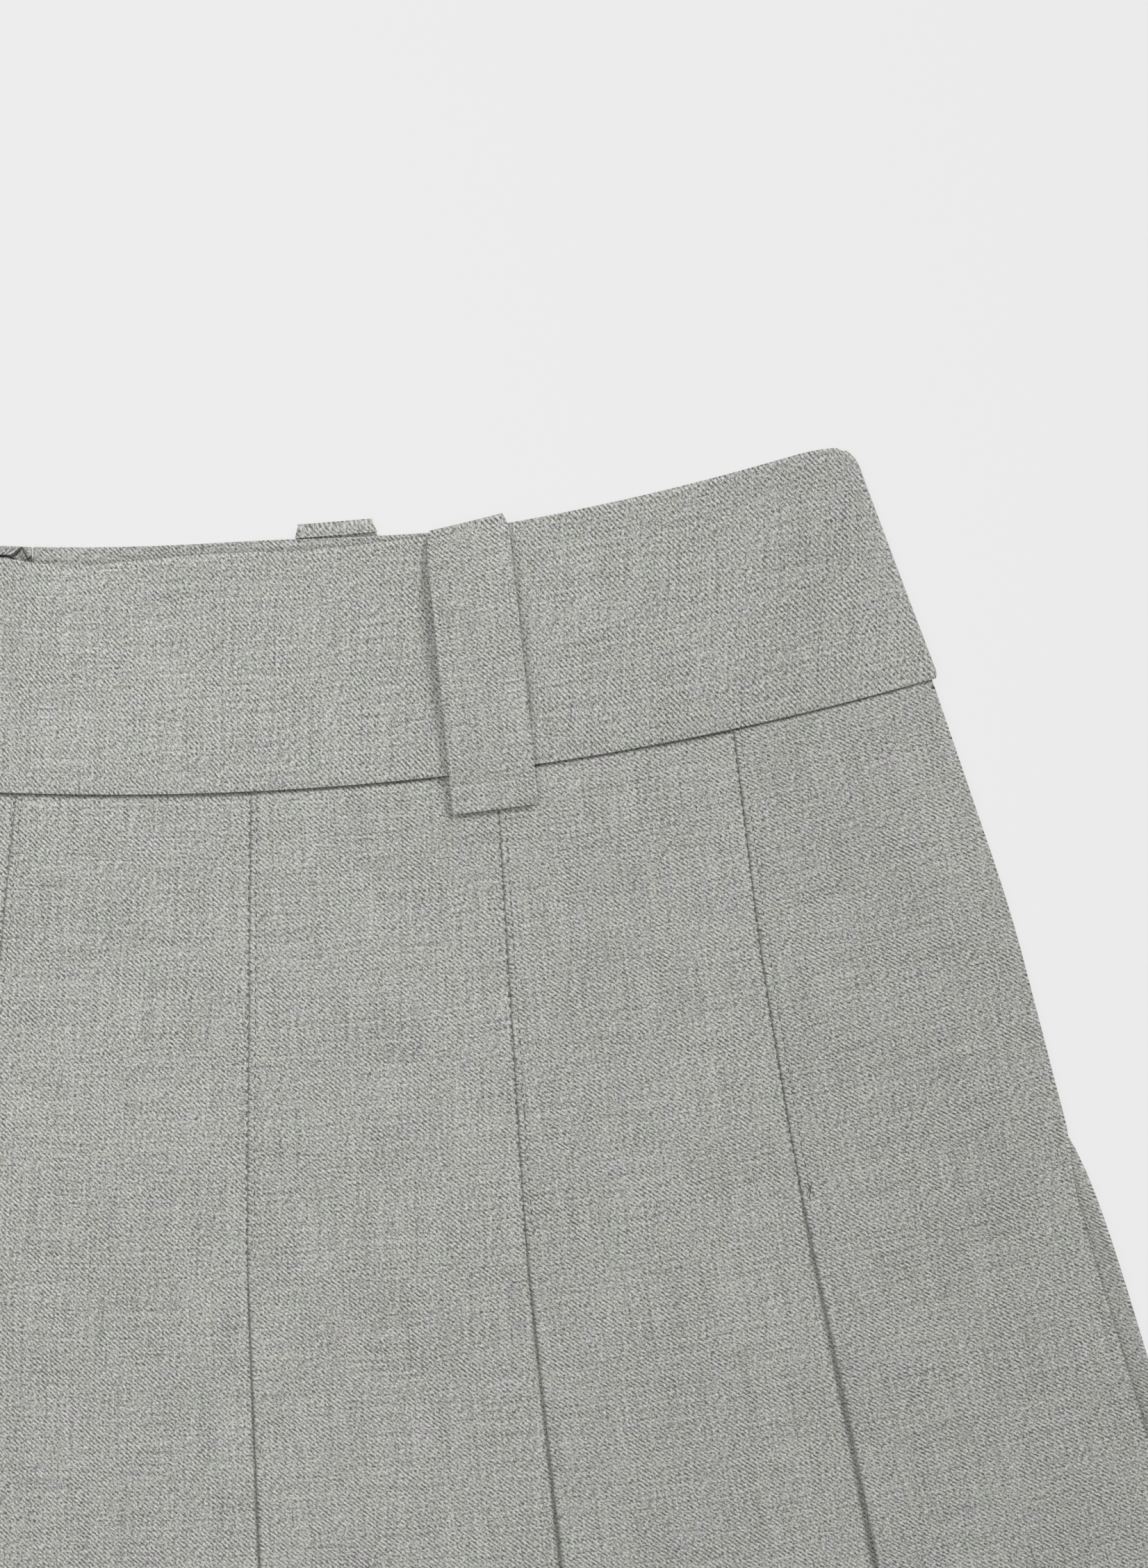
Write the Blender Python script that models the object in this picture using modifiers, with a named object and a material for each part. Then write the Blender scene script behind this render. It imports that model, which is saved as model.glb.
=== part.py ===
"""Knife-pleated micro mini skirt, laid flat on its back with the front up.

Sizes below are in millimetres. A place on the garment is given by `along`, the
distance along the waist seam from the centre line, and `down`, the distance
below that seam along the cloth. Places on the waistband use `up` instead.
"""

import math
from collections import namedtuple
from functools import lru_cache

import bmesh
import bpy

MM = 0.001

# Skirt cloth
WALL = 1.0
HEM_DROP = 280.0
STITCHED_DOWN = 100.0
UNDERLAY = 30.0
CENTRE_BACK_UNDERLAY = 14.0
LAYER_GAP = 0.25
HEM_LAYER_GAP = 0.70
FRONT_TO_BACK_GAP = 0.30
PIECE_GAP = 0.30

# Waist seam
SEAM_RADIUS = 635.0
SEAM_HALF = 199.5
FIRST_BACK_FOLD = 191.9
CENTRE_BACK = 1.7

# Waistband
BAND_WALL = 1.3
BAND_HALF = 201.0
BAND_TAPER = 0.00041
BAND_HEIGHT_CENTRE = 49.0
BAND_HEIGHT_GAIN = 0.0294
BAND_CORNER_FROM = 184.0
BAND_CORNER_DROP = 3.4
BAND_END = 193.3
BACK_RISE = 3.7
BACK_RISE_FADE = (45.0, 125.0)
BAND_SEAM_UNDERSIDE = 6.4
BAND_TOP_UNDERSIDE = 4.9
BAND_HUMP_HALF = 16.0
BAND_MIDDLE_ROUND = 8.0
BAND_TURN_REACH = 8.0

# Belt loops
LOOP_WIDTH = 18.3
LOOP_WALL = 1.0
LOOP_BELOW_SEAM = 8.3
FRONT_LOOP_ALONG = 102.5
FRONT_LOOP_LEAN = 0.072
FRONT_LOOP_RISE = 1.5
BACK_LOOP_ALONG = 74.8
BACK_LOOP_RISE = 3.3
LOOP_SLACK = 0.6

# Concealed zip, slider and pull tab
TAPE_HALF = 11.0
TAPE_THICKNESS = 0.4
COIL_HALF = 1.4
COIL_HEIGHT = 1.1
ZIP_TOP = 38.2
ZIP_BOTTOM_DOWN = 108.0
SLIDER_SIZE = (6.4, 8.6, 2.1)
SLIDER_UP = 38.5
SLIDER_LIFT = 3.65
BRIDGE_WIDTH = 1.4
BRIDGE_UP = (43.4, 47.0)
BRIDGE_WINDOW_UP = (44.25, 46.15)
BRIDGE_WINDOW_Z = (0.6, 2.0)
BRIDGE_LOWEST = 0.1
HINGE_UP = 45.2
HINGE_Z = 1.3
HINGE_ROD_RADIUS = 0.4
PULL_WIDTH = 5.0
PULL_LENGTH = 18.0
PULL_THICKNESS = 0.8
PULL_WINDOW_WIDTH = 2.1
PULL_WINDOW_LENGTH = 3.8
PULL_TIP_Z = 0.55
EYELET_UP = (42.6, 43.2, 47.2, 47.8)
EYELET_HALF = 1.25

# Wire hook and eye above the zip
HOOK_WIRE = 0.6
EYE_WIRE = 0.5
WIRE_LIFT = 3.6

# How far the cloth rises over the pull tab and the loops that lie under it, how
# far the rise stays level to each side, and where it has died away
PULL_LIFT = 2.0
PULL_LIFT_LEVEL = 4.0
PULL_LIFT_END = 16.0
PULL_LIFT_UP = (6.0, 34.0)
LOOP_LIFT = 1.35
LOOP_LIFT_ALONG = 73.3
FRONT_LIFT_LEVEL = 20.0
FRONT_LIFT_END = 36.0
BACK_LIFT_LEVEL = 12.0
BACK_LIFT_END = 23.0
LIFT_DOWN = (12.0, 34.0)
BAND_LIFT_UP = 25.0

# The run of one crease or edge down the cloth: slopes are sideways travel per
# millimetre down, changing from upper to lower between the two bends, and
# spring is how far the crease jumps sideways once its stitching ends.
Line = namedtuple("Line", "along upper lower bend_from bend_to spring")

LEFT_SIDE = Line(-SEAM_HALF, -0.378, -0.295, 40, 65, 0)
RIGHT_SIDE = Line(SEAM_HALF, 0.378, 0.295, 40, 65, 0)

FRONT_FOLDS = (
    Line(-155.3, -0.255, -0.235, 85, 115, 0),
    Line(-103.5, -0.180, -0.165, 85, 115, 0),
    Line(-50.5, -0.120, -0.095, 85, 115, 0),
    Line(0.0, -0.065, -0.025, 85, 115, 0),
    Line(50.5, 0.025, 0.075, 85, 115, 0),
    Line(103.5, 0.095, 0.145, 85, 115, 0),
    Line(155.3, 0.162, 0.222, 35, 60, 0),
)

# From the wearer's left side seam, at +X, to the right one: each panel lies
# outside the one before it.
BACK_FOLDS = (
    Line(FIRST_BACK_FOLD, 0.454, 0.335, 40, 90, 3.3),
    Line(135.5, 0.203, 0.210, 85, 115, 0),
    Line(81.3, 0.122, 0.127, 85, 115, 0),
    Line(27.1, 0.041, 0.043, 85, 115, 0),
    Line(-27.1, -0.041, -0.043, 85, 115, 0),
    Line(-81.3, -0.122, -0.127, 85, 115, 0),
    Line(-135.5, -0.203, -0.210, 85, 115, 0),
    Line(-FIRST_BACK_FOLD, -0.366, -0.288, 40, 65, 0),
)

FRONT_LINES = (LEFT_SIDE,) + FRONT_FOLDS + (RIGHT_SIDE,)
BACK_INNER_LINES = (LEFT_SIDE,) + BACK_FOLDS[6:0:-1] + (RIGHT_SIDE,)
BACK_OUTER_LINES = (LEFT_SIDE,) + BACK_FOLDS[7:0:-1] + (BACK_FOLDS[0],)

# Where the seam hidden inside the left side pleat lies
HIDDEN_SEAM = FIRST_BACK_FOLD - 2 * SEAM_HALF + UNDERLAY

ROWS_DOWN = (PIECE_GAP, *LIFT_DOWN, 68, STITCHED_DOWN, 124, 172, 226, HEM_DROP)
RUN_STEPS = 48
SPRING_RUN = 15.0
TURN_STEPS = 4
SIDE_TURN_STEPS = 6
DROP_SHARES = (0.0, 0.3, 0.7, 1.0)
UNDERLAY_SHARES = (0.33, 0.67)
DROP_CLEAR = 1.5
BACK_RISE_RUN = 7.0
RISE_SHARES = (0.3, 0.7, 1.0)
RISE_CLEAR = 1.2
TURN_CLEAR = 3.0
BACK_STATION = 7.5
CLOSEST_STATION = 1.5


def clamp01(value):
    return min(max(value, 0.0), 1.0)


def smooth(value):
    value = clamp01(value)
    return value * value * (3 - 2 * value)


def mix(first, second, share):
    return first + (second - first) * share


@lru_cache(maxsize=None)
def run_of(line, down):
    """How far sideways and down a crease has gone after `down` of cloth."""
    across = below = 0.0
    step = down / RUN_STEPS
    for index in range(RUN_STEPS):
        bend = clamp01(((index + 0.5) * step - line.bend_from) / (line.bend_to - line.bend_from))
        slope = mix(line.upper, line.lower, bend)
        length = math.hypot(1, slope)
        across += step * slope / length
        below += step / length
    if down > STITCHED_DOWN:
        across += line.spring * (1 - math.exp((STITCHED_DOWN - down) / SPRING_RUN))
    return across, below


@lru_cache(maxsize=None)
def on_cloth(lines, along, down):
    """The point of the laid skirt at `along` and `down`: (across, below)."""
    index = 1
    while index < len(lines) - 1 and lines[index].along < along:
        index += 1
    before, after = lines[index - 1], lines[index]
    share = (along - before.along) / (after.along - before.along)
    first, second = run_of(before, down), run_of(after, down)
    angle = along / SEAM_RADIUS
    across = SEAM_RADIUS * math.sin(angle) + mix(first[0], second[0], share)
    below = SEAM_RADIUS * (math.cos(angle) - 1) + mix(first[1], second[1], share)
    return across, below


def tangent(lines, along, down):
    first = on_cloth(lines, along - 1, down)
    second = on_cloth(lines, along + 1, down)
    length = math.hypot(second[0] - first[0], second[1] - first[1])
    return (second[0] - first[0]) / length, (second[1] - first[1]) / length


def origin():
    """The point of the laid garment that is put at x = 0, y = 0."""
    right = on_cloth(BACK_OUTER_LINES, FIRST_BACK_FOLD, HEM_DROP)[0]
    left = on_cloth(FRONT_LINES, -SEAM_HALF, HEM_DROP)[0]
    top = on_band(BAND_CORNER_FROM, band_height(BAND_CORNER_FROM))[1]
    bottom = on_cloth(FRONT_LINES, 0.0, HEM_DROP)[1]
    return (left + right) / 2, (top + bottom) / 2


def world(across, below, height):
    centre = origin()
    return (across - centre[0]) * MM, (centre[1] - below) * MM, height * MM


def band_height(along):
    """Height of the front band above the waist seam."""
    away = math.hypot(along, BAND_MIDDLE_ROUND) - BAND_MIDDLE_ROUND
    corner = clamp01((abs(along) - BAND_CORNER_FROM) / (BAND_HALF - BAND_CORNER_FROM))
    return BAND_HEIGHT_CENTRE + BAND_HEIGHT_GAIN * away - BAND_CORNER_DROP * corner**2


def back_band_height(along):
    """The back band shows above the front one near the middle."""
    return band_height(along) + BACK_RISE * (1 - ramp(abs(along), *BACK_RISE_FADE))


def on_band(along, up):
    angle = along * (1 - BAND_TAPER * up) / SEAM_RADIUS
    radius = SEAM_RADIUS - up
    return radius * math.sin(angle), radius * math.cos(angle) - SEAM_RADIUS


def ramp(value, first, last):
    """0 up to `first`, 1 from `last` on, and a smooth rise between them."""
    return smooth((value - first) / (last - first))


def loop_lift(along, down, level, end):
    """Rise of the cloth over the two belt loops that lie under the back."""
    away = abs(abs(along) - LOOP_LIFT_ALONG)
    return LOOP_LIFT * (1 - ramp(away, level, end)) * (1 - ramp(down, *LIFT_DOWN))


def pull_lift(along, up):
    """Rise of the back band over the pull tab that lies under it."""
    away = abs(along - CENTRE_BACK)
    return PULL_LIFT * (1 - ramp(away, PULL_LIFT_LEVEL, PULL_LIFT_END)) * ramp(up, *PULL_LIFT_UP)


def pitch(down):
    """Distance between the middles of two folded layers."""
    opened = clamp01((down - STITCHED_DOWN) / (HEM_DROP - STITCHED_DOWN))
    return WALL + mix(LAYER_GAP, HEM_LAYER_GAP, opened)


def back_level(layer, down):
    """Middle height of a back layer: 0 is the outer one, on the table."""
    return WALL / 2 + layer * pitch(down)


def front_level(layer, down):
    """Middle height of a front layer: 2 is the outer one, on top."""
    return back_level(2, down) + WALL + FRONT_TO_BACK_GAP + layer * pitch(down)


class Section:
    """One cross-section of a cloth wall, as points along its middle line."""

    def __init__(self, lines, down, lift):
        self.lines = lines
        self.down = down
        self.lift = lift
        self.points = []

    def add(self, along, height, inset=0.0, lines=None, lifted_at=None):
        lines = lines or self.lines
        across, below = on_cloth(lines, along, self.down)
        if inset:
            sideways = tangent(lines, along, self.down)
            across += inset * sideways[0]
            below += inset * sideways[1]
        rise = self.lift(along if lifted_at is None else lifted_at, self.down)
        self.points.append(world(across, below, height + rise))

    def turn(self, along, first, last, inwards, steps, lines=None, wall=WALL):
        """A fold from one height to another whose outer face is at `along`."""
        radius = abs(last - first) / 2
        centre = (first + last) / 2
        side = 1 if last > first else -1
        deepest = inwards * (radius + wall / 2)
        for step in range(steps + 1):
            angle = math.pi * step / steps - math.pi / 2
            inset = deepest - inwards * radius * math.cos(angle)
            height = centre + side * radius * math.sin(angle)
            self.add(along, height, inset, lines, along + deepest)


def front_lift(along, down):
    return loop_lift(along, down, FRONT_LIFT_LEVEL, FRONT_LIFT_END)


def back_lift(along, down):
    return loop_lift(along, down, BACK_LIFT_LEVEL, BACK_LIFT_END)


def add_pleats_front(section, down):
    """From the left side to the right one over the front folds."""
    low, middle, high = (front_level(layer, down) for layer in range(3))
    underlay_end = HIDDEN_SEAM
    for fold in FRONT_FOLDS:
        for share in DROP_SHARES:
            along = mix(underlay_end + DROP_CLEAR, fold.along - DROP_CLEAR, share)
            section.add(along, mix(high, low, smooth(share)))
        for share in UNDERLAY_SHARES:
            section.add(fold.along + share * UNDERLAY, low)
        section.turn(fold.along + UNDERLAY, low, middle, -1, TURN_STEPS)
        for share in reversed(UNDERLAY_SHARES):
            section.add(fold.along + share * UNDERLAY, middle)
        section.turn(fold.along, middle, high, 1, TURN_STEPS)
        for share in UNDERLAY_SHARES:
            section.add(fold.along + share * UNDERLAY, high)
        underlay_end = fold.along + UNDERLAY


def front_section(down):
    """From the seam hidden in the left side pleat, round both side folds."""
    section = Section(FRONT_LINES, down, front_lift)
    middle, high = front_level(1, down), front_level(2, down)
    inner, between, outer = (back_level(layer, down) for layer in (2, 1, 0))
    section.add(HIDDEN_SEAM, middle)
    section.turn(-SEAM_HALF + pitch(down), middle, between, 1, SIDE_TURN_STEPS)
    section.turn(-FIRST_BACK_FOLD, between, outer, -1, TURN_STEPS, BACK_OUTER_LINES)
    section.turn(-SEAM_HALF, outer, high, 1, SIDE_TURN_STEPS)
    add_pleats_front(section, down)
    side_height = inner + 2 * pitch(down)
    last_underlay = FRONT_FOLDS[-1].along + UNDERLAY
    for share in (0.0, 0.5):
        along = mix(last_underlay, SEAM_HALF - WALL / 2 - pitch(down), share)
        section.add(along, mix(high, side_height, smooth(share)))
    section.turn(SEAM_HALF, side_height, inner, -1, SIDE_TURN_STEPS)
    add_back_run(section, SEAM_HALF - TURN_CLEAR, FIRST_BACK_FOLD - UNDERLAY, inner, BACK_INNER_LINES)
    return section.points


def add_back_run(section, first, last, height, lines):
    """Points along a back layer, at stations that stacked layers share."""
    low, high = sorted((first, last))
    nearest = math.ceil((low + CLOSEST_STATION) / BACK_STATION)
    furthest = math.floor((high - CLOSEST_STATION) / BACK_STATION)
    stations = range(nearest, furthest + 1)
    for station in stations if last > first else reversed(stations):
        section.add(station * BACK_STATION, height, 0, lines)
    section.add(last, height, 0, lines)


def add_back_rise(section, first, last, down):
    """The outer layer of a back panel climbs over the next panel's underlay."""
    inner, outer = back_level(2, down), back_level(0, down)
    for share in RISE_SHARES:
        section.add(mix(first, last, share), mix(outer, inner, smooth(share)))


def underlay_depth(fold):
    return CENTRE_BACK_UNDERLAY if fold.along == BACK_FOLDS[3].along else UNDERLAY


def add_back_pleat(section, fold, following, down, depth, end=None):
    """One back panel from its underlay to the next fold, or to the seam edge at `end`."""
    middle, outer = back_level(1, down), back_level(0, down)
    lines = BACK_OUTER_LINES
    add_back_run(section, fold.along - depth + TURN_CLEAR, fold.along - TURN_CLEAR, middle, lines)
    section.turn(fold.along, middle, outer, -1, TURN_STEPS)
    if following is None:
        add_back_run(section, fold.along, end, outer, lines)
        return
    start = following.along + BACK_RISE_RUN
    add_back_run(section, fold.along, start, outer, lines)
    add_back_rise(section, start, following.along + RISE_CLEAR, down)


def back_right_section(down):
    """The back at +X, from the seam hidden in the side pleat to centre back."""
    section = Section(BACK_OUTER_LINES, down, back_lift)
    inner, middle = back_level(2, down), back_level(1, down)
    first = BACK_FOLDS[0]
    section.add(first.along - UNDERLAY, middle)
    for index in range(3):
        fold, following = BACK_FOLDS[index], BACK_FOLDS[index + 1]
        add_back_pleat(section, fold, following, down, UNDERLAY)
        depth = underlay_depth(following)
        add_back_run(section, following.along, following.along - depth + TURN_CLEAR, inner, BACK_OUTER_LINES)
        section.turn(following.along - depth, inner, middle, 1, TURN_STEPS)
    add_back_pleat(section, BACK_FOLDS[3], None, down, CENTRE_BACK_UNDERLAY, CENTRE_BACK + PIECE_GAP / 2)
    return section.points


def back_left_section(down):
    """The back at -X, from centre back to the seam hidden in the side pleat."""
    section = Section(BACK_OUTER_LINES, down, back_lift)
    inner, middle, outer = (back_level(layer, down) for layer in (2, 1, 0))
    lines = BACK_OUTER_LINES
    start = CENTRE_BACK - PIECE_GAP / 2
    section.add(start, outer)
    rise_from = BACK_FOLDS[4].along + BACK_RISE_RUN
    add_back_run(section, start, rise_from, outer, lines)
    add_back_rise(section, rise_from, BACK_FOLDS[4].along + RISE_CLEAR, down)
    for index in range(4, 7):
        fold, following = BACK_FOLDS[index], BACK_FOLDS[index + 1]
        add_back_run(section, fold.along, fold.along - UNDERLAY + TURN_CLEAR, inner, lines)
        section.turn(fold.along - UNDERLAY, inner, middle, 1, TURN_STEPS)
        add_back_pleat(section, fold, following, down, UNDERLAY)
    low = front_level(0, down)
    section.turn(-SEAM_HALF + 2 * pitch(down), inner, low, 1, TURN_STEPS, FRONT_LINES)
    section.add(HIDDEN_SEAM, low, 0, FRONT_LINES)
    return section.points


def band_middle(along, up):
    """Middle height of the front band: it settles towards the back band at the top."""
    top = band_height(along)
    hump = math.exp(-((along / BAND_HUMP_HALF) ** 2))
    settle = (BAND_SEAM_UNDERSIDE - BAND_TOP_UNDERSIDE) * smooth(up / top) * (1 - hump)
    raised = front_lift(along, 0) * (1 - smooth(up / BAND_LIFT_UP))
    return BAND_SEAM_UNDERSIDE + BAND_WALL / 2 - settle + raised


def back_band_middle(along, up):
    return BAND_WALL / 2 + pull_lift(along, up) + back_lift(along, -up)


def band_point(along, up, height):
    across, below = on_band(along, up)
    return world(across, below, height)


FRONT_BAND_SHARES = (0.0, 0.24, 0.5, 0.75, 0.93, 1.0)
FRONT_BAND_STEPS = 48


def front_band_section(share):
    """Round the band at one share of its height, from the back seam to the other."""
    points = []

    def up_at(along):
        return mix(PIECE_GAP, band_height(along), share)

    def side_turn(side, reverse):
        up = up_at(side * BAND_HALF)
        height = band_middle(side * BAND_HALF, up)
        radius = (height - BAND_WALL / 2) / 2
        turned = []
        for step in range(SIDE_TURN_STEPS + 1):
            angle = math.pi * step / SIDE_TURN_STEPS - math.pi / 2
            inset = radius + BAND_WALL / 2 - radius * math.cos(angle)
            middle = BAND_WALL / 2 + radius * (1 + math.sin(angle))
            turned.append(band_point(side * (BAND_HALF - inset), up, middle))
        points.extend(reversed(turned) if reverse else turned)

    points.append(band_point(-BAND_END, up_at(-BAND_END), BAND_WALL / 2))
    side_turn(-1, False)
    reach = BAND_HALF - BAND_TURN_REACH
    for step in range(FRONT_BAND_STEPS + 1):
        along = mix(-reach, reach, step / FRONT_BAND_STEPS)
        points.append(band_point(along, up_at(along), band_middle(along, up_at(along))))
    side_turn(1, True)
    points.append(band_point(BAND_END, up_at(BAND_END), BAND_WALL / 2))
    return points


BACK_BAND_ROWS = (PIECE_GAP, 7, 14, 21, 28, 35) + EYELET_UP
NEAR_STOPS = (4.0, 8.0, 12.0, 16.0)
LIFT_STOPS = (BACK_LIFT_END, (BACK_LIFT_END + BACK_LIFT_LEVEL) / 2, BACK_LIFT_LEVEL)
FAR_STOPS = (
    34.0,
    *(LOOP_LIFT_ALONG - stop for stop in LIFT_STOPS),
    LOOP_LIFT_ALONG,
    *(LOOP_LIFT_ALONG + stop for stop in reversed(LIFT_STOPS)),
    115.0,
    135.0,
    155.0,
    175.0,
    BAND_END - PIECE_GAP,
)


def back_band_section(side, row):
    """One half of the back band at one row, from centre back to the side seam."""
    top = row == len(BACK_BAND_ROWS)
    edge = EYELET_HALF if not top and BACK_BAND_ROWS[row] in EYELET_UP[1:3] else PIECE_GAP / 2
    stops = [CENTRE_BACK + side * edge]
    stops += [CENTRE_BACK + side * stop for stop in NEAR_STOPS]
    stops += [side * stop for stop in FAR_STOPS]
    points = []
    for along in stops:
        up = back_band_height(along) if top else BACK_BAND_ROWS[row]
        points.append(band_point(along, up, back_band_middle(along, up)))
    return points


def front_top(along, up):
    """Height of the topmost cloth where a front loop lies."""
    if up >= 0:
        return band_middle(along, up) + BAND_WALL / 2
    return front_level(2, 0) + WALL / 2 + front_lift(along, -up)


# A row across a belt loop: how far up the band it lies, and its height
LoopRow = namedtuple("LoopRow", "up height")


def front_loop_path():
    """Rows of a front loop, with heights over the cloth below it."""
    clear = PIECE_GAP + LOOP_WALL / 2
    top = band_height(FRONT_LOOP_ALONG)
    edge = FRONT_LOOP_RISE - LOOP_WALL / 2
    half = BAND_WALL / 2
    return (
        LoopRow(top + 0.9 * edge, -half - 0.1),
        LoopRow(top + edge, 0.1),
        LoopRow(top + 0.45 * edge, clear),
        LoopRow(top - 1.5, clear + 0.2),
        LoopRow(top * 0.75, clear + LOOP_SLACK),
        LoopRow(top * 0.45, clear + LOOP_SLACK),
        LoopRow(top * 0.15, clear + LOOP_SLACK / 2),
        LoopRow(1.0, clear + 0.1),
        LoopRow(-2.0, clear + 0.35),
        LoopRow(-LOOP_BELOW_SEAM, clear),
    )


def back_loop_path():
    """Rows of a back loop, which lies under the band, with heights over the table."""
    flat = LOOP_WALL / 2
    top = back_band_height(BACK_LOOP_ALONG)
    edge = BACK_LOOP_RISE - LOOP_WALL / 2
    seam = back_band_middle(BACK_LOOP_ALONG, top)
    return (
        LoopRow(top + PIECE_GAP + flat, seam),
        LoopRow(top + edge - 0.6, seam),
        LoopRow(top + edge, (seam + flat) / 2),
        LoopRow(top + edge - 0.6, flat),
        LoopRow(top - 1.5, flat),
        LoopRow(top * 0.5, flat),
        LoopRow(0.0, flat),
        LoopRow(-LOOP_BELOW_SEAM, flat),
    )


LOOP_SHARES = (-0.5, -0.25, 0.0, 0.25, 0.5)


def loop_rows(front, side):
    rows = []
    path = front_loop_path() if front else back_loop_path()
    middle = FRONT_LOOP_ALONG if front else BACK_LOOP_ALONG
    for up, height in path:
        lean = FRONT_LOOP_LEAN * up if front else 0.0
        centre = side * (middle + lean)
        row = []
        for share in LOOP_SHARES:
            along = centre + share * LOOP_WIDTH * SEAM_RADIUS / (SEAM_RADIUS - up)
            base = front_top(along, min(up, band_height(along))) if front else 0.0
            row.append(band_point(along, up, base + height))
        rows.append(row)
    return rows


# How far below the waist seam each section of the zip lies
ZIP_STATIONS = (ZIP_BOTTOM_DOWN, 60, 20, 4, -4, -10, -17, -24, -31, -ZIP_TOP)
TAPE_SHARES = (0.2, 0.55, 1.0)
COIL_SLOPE = 0.4
SEAM_BLEND = 20.0


def zip_rows():
    """Sections of the closed zip: two tapes with the coil standing between them."""
    under = [(-share * TAPE_HALF, 0.0) for share in reversed(TAPE_SHARES)]
    under += [(share * TAPE_HALF, 0.0) for share in TAPE_SHARES]
    over = [(share * TAPE_HALF, TAPE_THICKNESS) for share in TAPE_SHARES[:0:-1]]
    over += [(COIL_HALF, TAPE_THICKNESS), (COIL_HALF - COIL_SLOPE, TAPE_THICKNESS + COIL_HEIGHT)]
    over += [(-x, z) for x, z in reversed(over)]
    rows = []
    for down in ZIP_STATIONS:
        row = []
        for offset, height in under + over:
            along = CENTRE_BACK + offset
            if down >= 0:
                across, below = on_cloth(BACK_OUTER_LINES, along, down)
                wall = mix(BAND_WALL, WALL, smooth(down / SEAM_BLEND))
            else:
                across, below = on_band(along, -down)
                wall = BAND_WALL
            base = wall + PIECE_GAP + pull_lift(along, -down)
            row.append(world(across, below, base + height))
        rows.append(row)
    return rows


def material(name, colour, roughness, metallic=0.0):
    made = bpy.data.materials.new(name)
    made.use_nodes = True
    shader = made.node_tree.nodes["Principled BSDF"]
    shader.inputs["Base Color"].default_value = (*colour, 1.0)
    shader.inputs["Roughness"].default_value = roughness
    shader.inputs["Metallic"].default_value = metallic
    return made


def add_object(name, data, finish, collection):
    made = bpy.data.objects.new(name, data)
    data.materials.append(finish)
    collection.objects.link(made)
    return made


def add_cloth(name, rows, wall, finish, collection):
    """A wall of even thickness on an open sheet that is lofted through `rows`."""
    sheet = bmesh.new()
    grid = [[sheet.verts.new(point) for point in row] for row in rows]
    for upper, lower in zip(grid, grid[1:]):
        for index in range(len(upper) - 1):
            sheet.faces.new((upper[index], upper[index + 1], lower[index + 1], lower[index]))
    mesh = bpy.data.meshes.new(name)
    sheet.to_mesh(mesh)
    sheet.free()
    mesh.shade_smooth()
    made = add_object(name, mesh, finish, collection)
    shell = made.modifiers.new("Wall", "SOLIDIFY")
    shell.thickness = wall * MM
    shell.offset = 0.0
    shell.use_even_offset = True
    return made


def add_bar(name, rows, finish, collection):
    """A closed solid lofted through closed sections, with its two ends filled."""
    bar = bmesh.new()
    rings = [[bar.verts.new(point) for point in row] for row in rows]
    for first, second in zip(rings, rings[1:]):
        for index in range(len(first)):
            following = (index + 1) % len(first)
            bar.faces.new((first[index], first[following], second[following], second[index]))
    bar.faces.new(list(reversed(rings[0])))
    bar.faces.new(rings[-1])
    bmesh.ops.recalc_face_normals(bar, faces=bar.faces)
    mesh = bpy.data.meshes.new(name)
    bar.to_mesh(mesh)
    bar.free()
    return add_object(name, mesh, finish, collection)


def add_block(name, low, high, finish, collection):
    """A box between two corners given in world metres."""
    bpy.ops.mesh.primitive_cube_add(size=1)
    made = bpy.context.object
    made.name = name
    for vertex in made.data.vertices:
        share = [value + 0.5 for value in vertex.co]
        vertex.co = [mix(low[axis], high[axis], share[axis]) for axis in range(3)]
    for owner in list(made.users_collection):
        owner.objects.unlink(made)
    collection.objects.link(made)
    made.data.materials.append(finish)
    return made


def add_wire(name, points, diameter, finish, collection):
    curve = bpy.data.curves.new(name, "CURVE")
    curve.dimensions = "3D"
    curve.bevel_depth = diameter / 2 * MM
    curve.bevel_resolution = 1
    curve.use_fill_caps = True
    spline = curve.splines.new("POLY")
    spline.points.add(len(points) - 1)
    for point, place in zip(spline.points, points):
        point.co = (*place, 1.0)
    return add_object(name, curve, finish, collection)


def arc(centre, radius, first, last, steps):
    """Points of an arc in the plane of the cloth, in degrees from first to last."""
    points = []
    for step in range(steps + 1):
        angle = math.radians(mix(first, last, step / steps))
        points.append((centre[0] + radius * math.cos(angle), centre[1] + radius * math.sin(angle), 0.0))
    return points


def wire_points(route, diameter):
    """A route of (along from centre back, up, lift) laid on the inner face of the back band."""
    points = []
    for offset, up, lift in route:
        along = CENTRE_BACK + offset
        base = BAND_WALL + pull_lift(along, up) + PIECE_GAP + diameter / 2
        points.append(band_point(along, up, base + lift))
    return points


# Each point of a wire: offset from centre back, height on the band, and lift
HOOK_ROUTE = (
    arc((-11.0, 51.3), 0.75, 60, 270, 6)
    + [(-7.2, 50.55, 0.3), (-5.3, 50.5, 0.8), (-4.0, 50.1, 0.8), (-3.5, 49.6, 0.45)]
    + [(-4.0, 49.1, 0.8), (-5.3, 48.9, 0.8), (-7.2, 48.85, 0.3)]
    + arc((-11.0, 48.1), 0.75, 90, 300, 6)
)
EYE_ROUTE = (
    arc((4.8, 48.4), 0.8, -120, 90, 6)
    + [(2.4, 49.4, 0), (0.6, 50.1, 0), (-0.2, 50.7, 0), (-0.9, 50.1, 0), (-2.45, 52.4, 0)]
    + [(-4.7, 50.6, 0), (-4.6, 49.4, 0), (-1.6, 48.1, 0), (2.8, 48.0, 0)]
    + arc((4.8, 46.0), 0.8, 90, -120, 6)
)


def zip_corner(offset, up, height):
    """World place of a point given from the centre back seam, on the band."""
    across, below = on_band(CENTRE_BACK, up)
    return world(across + offset, below, height)


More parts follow.
